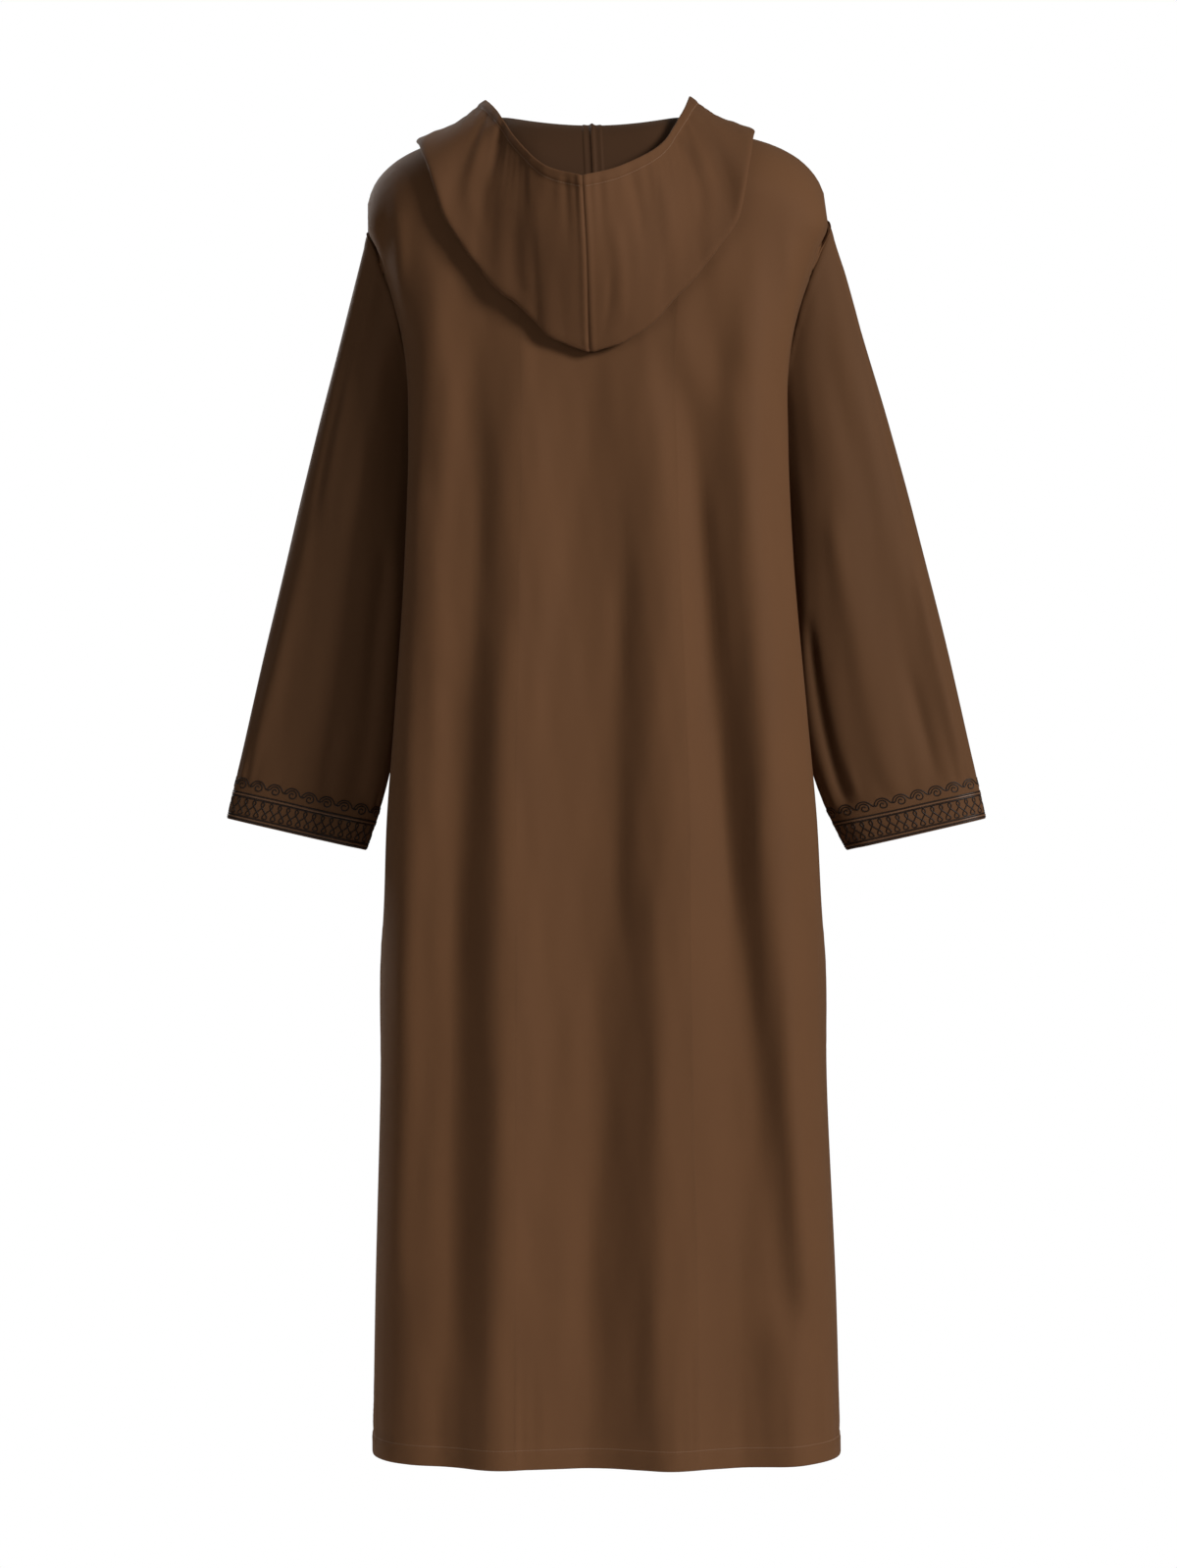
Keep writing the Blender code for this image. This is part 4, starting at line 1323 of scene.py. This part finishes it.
@dataclass
class HoodHalf:
    """Half of the hood: from the neck seam it stands up, lies back on the robe, folds, and comes up again
    to the turned edge of the face opening."""

    side: Side
    form: BodyForm
    finishes: Finishes
    columns: int = 176
    even_rows: int = 128
    samples: int = 900
    gap: float = 0.0050
    stand: float = 0.014
    fold: float = 0.011
    outer: float = 0.019
    loft: float = 0.005
    flat_place: tuple[float, float] = (0.50, 0.15)
    flat_layers: float = 0.58
    flat_gap: float = 0.10
    billow: float = 0.014
    # how much the billow loses, from which station, and over how many
    billow_turn: tuple[float, float, float] = (1.3, 0.33, 0.18)
    swing: float = 0.013
    # where the cloth bends up off the shoulder: station, width, share of the loft
    bends: tuple[tuple[float, float, float], ...] = ((0.44, 0.09, 1.0), (0.76, 0.12, 0.6))
    calm: float = 0.45
    calm_start: float = 0.6
    lie_places: tuple[float, ...] = (0.12, 0.28, 0.52, 0.78)
    outer_place: float = 0.94
    turn_place: float = 0.95
    station_gather: float = 0.55
    inner_share: float = 0.42
    # the seam allowance beside the centre seam: its step down, its width, and the width of that step
    allowance: tuple[float, float, float] = (0.0009, 0.0105, 0.0018)
    ripple: float = 0.0006
    rim_seam: float = 0.5
    seam_calm: float = 0.004
    thickness: float = 0.0010
    hem: Hem = Hem(turning=0.0112, row_step=0.0014, stitch_pitch=0.0030, stitch_length=0.0021)
    seam: Seam = Seam(depth=0.0016, width=0.0018, swelling=0.0005)

    @property
    def node(self) -> str:
        """The CAD node that the half stands for."""
        return "hood_" + self.side.name.lower()

    def laid_back(self, share: Array, over: Array, height: Array) -> Array:
        """Points at a height over the back, so far over the shoulder along the cloth.

        Args:
            share: place across.
            over: length of cloth from the shoulder line.
            height: over the back.

        Returns:
            The points.
        """
        form = self.form
        neck = np.clip(1 - share / form.neck_share, 0, 1)
        radius = form.top_round + (form.neck_round - form.top_round) * ease(2 * neck)
        turn = np.minimum(over / radius, np.pi / 2)
        below = radius * (1 - np.cos(turn)) + np.maximum(over - radius * np.pi / 2, 0)
        point = form.point(share, self.side, Face.BACK, below)
        return point + form.normal(share, self.side, Face.BACK, below) * height

    def laid_front(self, share: Array, depth: Array, height: Array) -> Array:
        """Points at a height over the front, so far forward of the origin; how far down that is comes by
        halving.

        Args:
            share: place across.
            depth: how far forward of the origin.
            height: over the front.

        Returns:
            The points.
        """
        form = self.form
        low, high = np.zeros_like(share), np.full_like(share, form.top_round)
        for _ in range(24):
            middle = (low + high) / 2
            short = form.point(share, self.side, Face.FRONT, middle)[:, 1] > -depth
            low, high = np.where(short, middle, low), np.where(short, high, middle)
        lean = np.clip(depth / SECTIONS.at("front", np.array(0.0)), 0, 1)
        out = np.stack([0 * lean, -lean, np.sqrt(1 - lean**2)], axis=1)
        return form.point(share, self.side, Face.FRONT, low) + out * height

    def knots(self, station: Array) -> Array:
        """Knots of the half, one row for each station round the neck.

        Args:
            station: places round the neck.

        Returns:
            Points (stations, knots, 3): seam, stand, inner layer, fold, outer layer, edge.
        """
        sizes, form = HOOD_SIZES[self.side], self.form
        shares = form.neck_share * np.sin(np.pi * station)
        back = (station <= 0.5)[:, None]
        nothing = np.zeros_like(station)
        seam = np.where(
            back,
            form.point(shares, self.side, Face.BACK, nothing),
            form.point(shares, self.side, Face.FRONT, nothing),
        )
        fold_share = sizes.at("fold_x", station) / form.top_half
        fold_over = sizes.at("fold_over", station)
        begin = np.where(back[:, 0], 0.0, seam[:, 1])
        bends = sum(part * bump(station - place, width) for place, width, part in self.bends)

        def over(q: float, height: Array | float, whole: float = 1.0) -> Array:
            """Points a share q of the way from the seam to the fold, at a height over the robe.

            Args:
                q: share of the way.
                height: over the robe.
                whole: share of the fold's own distance over the shoulder.

            Returns:
                The points (stations, 3).
            """
            share = shares + (fold_share - shares) * q
            reach = begin + (fold_over * whole - begin) * q
            raised = height + self.loft * bends[:, None] * min(1, q * 2)
            behind = self.laid_back(share, np.maximum(reach, 1e-5), raised)
            return np.where(back, behind, self.laid_front(share, -reach, raised))

        rim = np.stack([sizes.at(name, station) for name in ("rim_x", "rim_y", "rim_z")], axis=1)
        rim[:, 0] *= self.side.value
        calm = 1 - self.calm * ease((station - self.calm_start) / (1 - self.calm_start))[:, None]
        less, start, reach = self.billow_turn
        billow = self.billow * (1 - less * ease((station - start) / reach))[:, None]
        lie = bump(station - self.flat_place[0], self.flat_place[1])[:, None]
        layers, gap = 1 - self.flat_layers * lie, self.gap * (1 - self.flat_gap * lie)
        low = over(self.outer_place, self.outer * layers)
        swell = over(1.0, 1.0, 0.6) - over(1.0, 0.0, 0.6)
        stand = seam + np.array([0, 0, self.stand]) * calm
        middle = (low + rim) / 2 + swell * billow
        laid_down = [over(q, gap + 0.0006 / q * calm) for q in self.lie_places]
        turned = [over(self.turn_place, 1.2 * gap), over(1.0, self.fold * layers)]
        found = np.stack([seam, stand, *laid_down, *turned, low, middle, rim], axis=1)
        swing = self.swing * (1 - ease(station / 0.5))[:, None]
        found[:, :, 0] += swing * np.linspace(0, 1, found.shape[1]) ** 2
        return found

    def build(self) -> Grid:
        """The half before its edge is turned under. A smooth curve (Catmull-Rom) runs through each
        station's knots; its rows are even between knots, and short in the turning."""
        even = np.linspace(0, 1, self.columns)
        station = even - self.station_gather * np.sin(2 * np.pi * even) / (2 * np.pi)
        knots = self.knots(station)
        last = knots.shape[1] - 1
        ends = 2 * knots[:, :1] - knots[:, 1:2], 2 * knots[:, -1:] - knots[:, -2:-1]
        padded = np.concatenate([ends[0], knots, ends[1]], axis=1)
        at = np.linspace(0, last, self.samples)
        i = np.minimum(at.astype(int), last - 1)
        t = (at - i)[None, :, None]
        a, b, c, d = (padded[:, i + k] for k in range(4))
        squares, cubes = 2 * a - 5 * b + 4 * c - d, 3 * b - a - 3 * c + d
        curve = 0.5 * (2 * b + (c - a) * t + squares * t**2 + cubes * t**3)

        steps = np.cumsum(np.linalg.norm(np.diff(curve, axis=1), axis=-1), axis=1)
        reach = np.concatenate([np.zeros((self.columns, 1)), steps], axis=1)
        step = self.hem.turning / self.hem.rows
        short = np.arange(-self.hem.rows + 1, 1) * step
        columns = []
        for line, length in zip(curve, reach, strict=True):
            turning = np.interp(length[-1] - self.hem.turning, length, at)
            rows = np.interp(np.linspace(0, turning, self.even_rows + 1), at, length)
            rows = np.concatenate([rows, length[-1] + short])
            columns.append(np.stack([np.interp(rows, length, line[:, n]) for n in range(3)], axis=1))
        points = np.stack(columns, axis=1)

        places = flat_places(points)
        places[..., 0] -= places[:, :1, 0]
        grid = Grid(points, places, flipped=self.side is Side.LEFT)
        across, down = places[..., 0], -places[..., 1]
        share = down / down[-1:]
        inner = ease((self.inner_share - share) / 0.06)
        thick, wide, edge = self.allowance
        allowance = -thick * ease((wide - across) / edge) * inner
        ripple = Ripple(self.ripple).height(across, down) * (1 - inner)
        height = HOOD_CREASES[self.side].height(across, share) + ripple
        height = height + self.seam.height(across, down) + self.seam.height(across[:, -1:] - across, down)
        height = height + self.seam.height(down, across) * self.rim_seam + allowance
        return self.hem.pressed(grid.moved(height * ease(down / self.seam_calm)))

    def dress(self) -> None:
        """Make the half and the stitching of its edge."""
        grid = self.build()
        whole = grid.turned_under(self.hem.rows, self.hem.gap)
        # The hood cloth's inner side takes the darker copy: painted shade for the dim inside of the hood.
        sides = self.finishes.hood, self.finishes.hood_inside_painted_shade
        half = cloth_object(self.node + "_half", whole, self.thickness, *sides)
        give(half, Slot.HOOD, self.node)
        name = self.node + "_edge_stitches"
        stitches = topstitch(name, self.hem, grid, self.thickness / 2, self.finishes.topstitch)
        give(stitches, Slot.HOOD)


# --- finishes -------------------------------------------------------------------------------------
class TwillGroup:
    """A shared shader group: fine diagonal ribs of twill, with uneven threads and slow changes of tone."""

    name = "twill weave"
    sockets: ClassVar[dict[str, tuple[tuple[str, str], ...]]] = {
        "INPUT": (
            ("Place", "Vector"),
            ("Colour", "Color"),
            ("Rib Spacing", "Float"),
            ("Unevenness", "Float"),
        ),
        "OUTPUT": (("Colour", "Color"), ("Height", "Float"), ("Roughness", "Float")),
    }

    def __init__(self) -> None:
        """Build the group once."""
        tree = bpy.data.node_groups.new(self.name, "ShaderNodeTree")
        self.tree = tree
        for way, sockets in self.sockets.items():
            for label, kind in sockets:
                tree.interface.new_socket(label, in_out=way, socket_type="NodeSocket" + kind)
        start, end = tree.nodes.new("NodeGroupInput"), tree.nodes.new("NodeGroupOutput")
        place, spacing, uneven = (start.outputs[label] for label in ("Place", "Rib Spacing", "Unevenness"))

        split = tree.nodes.new("ShaderNodeSeparateXYZ")
        tree.links.new(place, split.inputs[0])
        diagonal = self.math("ADD", split.outputs["X"], split.outputs["Y"])
        turns = self.math("DIVIDE", diagonal, spacing)
        wobble = self.noise(place, scale=260.0, detail=1.0)
        phase = self.math("MULTIPLY_ADD", turns, 2 * np.pi, self.math("MULTIPLY", wobble, 3.0))
        rib = self.math("SINE", phase)

        yarn = self.noise(place, scale=1400.0, detail=2.0)
        slow = self.noise(place, scale=9.0, detail=3.0)
        yarn_tone, slow_tone = self.math("SUBTRACT", yarn, 0.5), self.math("SUBTRACT", slow, 0.5)
        tone = self.math("MULTIPLY_ADD", slow_tone, 0.9, yarn_tone)
        tone = self.math("MULTIPLY_ADD", rib, 0.22, tone)
        tone = self.math("MULTIPLY_ADD", tone, uneven, 1.0)
        scale = tree.nodes.new("ShaderNodeVectorMath")
        scale.operation = "SCALE"
        tree.links.new(start.outputs["Colour"], scale.inputs[0])
        tree.links.new(tone, scale.inputs["Scale"])
        tree.links.new(scale.outputs[0], end.inputs["Colour"])
        tree.links.new(self.math("MULTIPLY_ADD", yarn, 0.8, rib), end.inputs["Height"])
        tree.links.new(self.math("MULTIPLY_ADD", slow, 0.16, 0.66), end.inputs["Roughness"])

    def math(self, operation: str, *values: object) -> bpy.types.NodeSocket:
        """A math node on sockets or numbers.

        Args:
            operation: the node's operation.
            values: its inputs in order.

        Returns:
            The node's output.
        """
        node = self.tree.nodes.new("ShaderNodeMath")
        node.operation = operation
        for socket, value in zip(node.inputs, values, strict=False):
            if isinstance(value, bpy.types.NodeSocket):
                self.tree.links.new(value, socket)
            else:
                socket.default_value = value
        return node.outputs[0]

    def noise(self, place: bpy.types.NodeSocket, scale: float, detail: float) -> bpy.types.NodeSocket:
        """A noise node read at a place.

        Args:
            place: the texture place.
            scale: of the noise.
            detail: of the noise.

        Returns:
            The node's output.
        """
        node = self.tree.nodes.new("ShaderNodeTexNoise")
        node.inputs["Scale"].default_value = scale
        node.inputs["Detail"].default_value = detail
        self.tree.links.new(place, node.inputs["Vector"])
        return node.outputs[0]


def new_material(name: str) -> tuple[bpy.types.Material, bpy.types.Node]:
    """A material, and its Principled shader.

    Args:
        name: its name.

    Returns:
        The material and the shader.
    """
    made = bpy.data.materials.new(name)
    made.use_nodes = True
    return made, made.node_tree.nodes["Principled BSDF"]


def fill(node: bpy.types.Node, values: dict[str, float | tuple[float, ...]]) -> None:
    """Set a node's sockets by name."""
    for label, value in values.items():
        node.inputs[label].default_value = value


@dataclass(frozen=True)
class ClothFinish:
    """Woven cloth with a soft sheen."""

    name: str
    colour: tuple[float, float, float]
    rib_spacing: float = 0.0009
    unevenness: float = 0.16
    relief: float = 0.00006
    relief_strength: float = 0.5
    specular: float = 0.10
    sheen: float = 0.07
    sheen_roughness: float = 0.45
    sheen_tint: tuple[float, float, float, float] = (1.0, 0.68, 0.44, 1.0)

    def make(self, twill: TwillGroup) -> bpy.types.Material:
        """The material, which reads the cloth's own texture places.

        Args:
            twill: the shared weave.

        Returns:
            The material.
        """
        made, shader = new_material(self.name)
        nodes, links = made.node_tree.nodes, made.node_tree.links
        group = nodes.new("ShaderNodeGroup")
        group.node_tree = twill.tree
        colour = (*self.colour, 1.0)
        fill(group, {"Colour": colour, "Rib Spacing": self.rib_spacing, "Unevenness": self.unevenness})
        place = nodes.new("ShaderNodeUVMap")
        place.uv_map = "cloth"
        links.new(place.outputs["UV"], group.inputs["Place"])
        raised = nodes.new("ShaderNodeBump")
        fill(raised, {"Strength": self.relief_strength, "Distance": self.relief})
        links.new(group.outputs["Height"], raised.inputs["Height"])
        links.new(raised.outputs["Normal"], shader.inputs["Normal"])
        links.new(group.outputs["Colour"], shader.inputs["Base Color"])
        links.new(group.outputs["Roughness"], shader.inputs["Roughness"])
        fill(shader, {"Specular IOR Level": self.specular, "Sheen Weight": self.sheen})
        fill(shader, {"Sheen Roughness": self.sheen_roughness, "Sheen Tint": self.sheen_tint})
        return made


@dataclass(frozen=True)
class ThreadFinish:
    """Smooth thread."""

    name: str
    colour: tuple[float, float, float]
    roughness: float = 0.45
    specular: float = 0.25

    def make(self) -> bpy.types.Material:
        """The material."""
        made, shader = new_material(self.name)
        fill(shader, {"Base Color": (*self.colour, 1.0), "Roughness": self.roughness})
        fill(shader, {"Specular IOR Level": self.specular})
        return made


def make_finishes() -> Finishes:
    """Every material of the robe."""
    twill = TwillGroup()
    # The inside of the hood: the hood cloth at about half its tone, painted shade where the light hardly
    # reaches.
    shaded_hood_finish = ClothFinish("hood cloth painted dark as inside shade", (0.058, 0.027, 0.0125), sheen=0.03)
    return Finishes(
        # One cloth in three tones, each set to how bright that piece looks under its light: the sleeves'
        # darker tone is painted shade, the body's lighter one painted light.
        body=ClothFinish("body cloth", (0.126, 0.057, 0.0245)).make(twill),
        sleeve=ClothFinish("sleeve cloth", (0.106, 0.049, 0.0215)).make(twill),
        hood=ClothFinish("hood cloth", (0.120, 0.054, 0.0235)).make(twill),
        hood_inside_painted_shade=shaded_hood_finish.make(twill),
        thread=ThreadFinish("embroidery thread", (0.015, 0.0068, 0.0032)).make(),
        # Satin stripes: real raised thread, its colour painted lighter than the sleeve cloth as their
        # highlight.
        satin=ThreadFinish("satin stripe thread with painted highlight", (0.122, 0.060, 0.030), roughness=0.38).make(),
        topstitch=ThreadFinish("topstitch thread", (0.260, 0.155, 0.095), roughness=0.5).make(),
    )


# --- studio ---------------------------------------------------------------------------------------
@dataclass
class Studio:
    """A pale floor, soft lights and the camera, which looks level at the back of the robe."""

    target: Vector = field(default_factory=lambda: Vector((0.0063, 0.0, -0.715)))
    distance: float = 5.0
    field_height: float = 1.683
    sensor: float = 36.0
    floor_level: float = -1.90
    floor_radius: float = 1.3
    floor_tone: tuple[float, ...] = (0.82, 0.82, 0.82, 1.0)
    floor_glow: float = 0.25
    room_light: float = 0.11
    white: tuple[float, ...] = (1.0, 1.0, 1.0, 1.0)
    # name, place, power, width
    lights: tuple[tuple, ...] = (
        ("key light", (-3.5, 2.8, 1.3), 215.0, 1.3),
        ("fill light", (2.6, 3.8, 0.6), 30.0, 2.5),
        ("front light", (2.2, -3.6, 1.4), 120.0, 2.5),
    )

    def floor(self) -> None:
        """A round white floor."""
        turn = np.linspace(0, 2 * np.pi, 97)[:-1]
        ring = np.stack([np.cos(turn), np.sin(turn), 0 * turn], axis=1) * self.floor_radius
        points = np.concatenate([ring, np.zeros((1, 3))]) + [0, 0, self.floor_level]
        number = np.arange(len(ring))
        faces = np.stack([number, (number + 1) % len(ring), 0 * number + len(ring)], axis=1)
        made = mesh_object("floor", points, faces)
        finish, shader = new_material("pale floor")
        fill(shader, {"Base Color": self.floor_tone, "Roughness": 0.9})
        fill(shader, {"Emission Color": self.white, "Emission Strength": self.floor_glow})
        made.data.materials.append(finish)

    def light(self) -> None:
        """Square soft lights that face the robe."""
        for name, place, power, width in self.lights:
            lamp = bpy.data.lights.new(name, "AREA")
            lamp.energy, lamp.size = power, width
            made = bpy.data.objects.new(name, lamp)
            made.location = place
            made.rotation_euler = (self.target - Vector(place)).to_track_quat("-Z", "Y").to_euler()
            bpy.context.scene.collection.objects.link(made)

    def surround(self) -> None:
        """A white room: plain white to the eye, dim as a light."""
        world = bpy.data.worlds.new("white room")
        bpy.context.scene.world = world
        world.use_nodes = True
        nodes, links = world.node_tree.nodes, world.node_tree.links
        nodes.clear()
        kinds = ("Background", "Background", "LightPath", "MixShader", "OutputWorld")
        seen, cast, path, mix, out = (nodes.new("ShaderNode" + kind) for kind in kinds)
        fill(seen, {"Color": self.white})
        fill(cast, {"Color": self.white, "Strength": self.room_light})
        links.new(path.outputs["Is Camera Ray"], mix.inputs[0])
        links.new(cast.outputs[0], mix.inputs[1])
        links.new(seen.outputs[0], mix.inputs[2])
        links.new(mix.outputs[0], out.inputs["Surface"])

    def camera(self) -> None:
        """The camera, level with the robe's middle, whose view is field_height tall there."""
        lens = bpy.data.cameras.new("camera")
        lens.sensor_width = self.sensor
        lens.lens = self.sensor * self.distance / self.field_height
        made = bpy.data.objects.new("camera", lens)
        made.location = self.target + Vector((0, self.distance, 0))
        made.rotation_euler = (np.pi / 2, 0, np.pi)
        bpy.context.scene.collection.objects.link(made)
        bpy.context.scene.camera = made

    def build(self) -> None:
        """Everything round the robe."""
        self.floor()
        self.light()
        self.surround()
        self.camera()
        bpy.context.scene.view_settings.view_transform = "Standard"


def main() -> None:
    """Make the robe piece by piece, and the studio round it."""
    logging.basicConfig(level=logging.INFO, format="%(name)s %(message)s")
    finishes, form = make_finishes(), BodyForm()
    for face in Face:
        BodyPanel(face, form, finishes).dress()
    for side in Side:
        sleeve = Sleeve(side, form, finishes)
        Embroidery(sleeve, sleeve.dress(), finishes).dress()
    for side in Side:
        HoodHalf(side, form, finishes).dress()
    Studio().build()


if __name__ == "__main__":
    main()
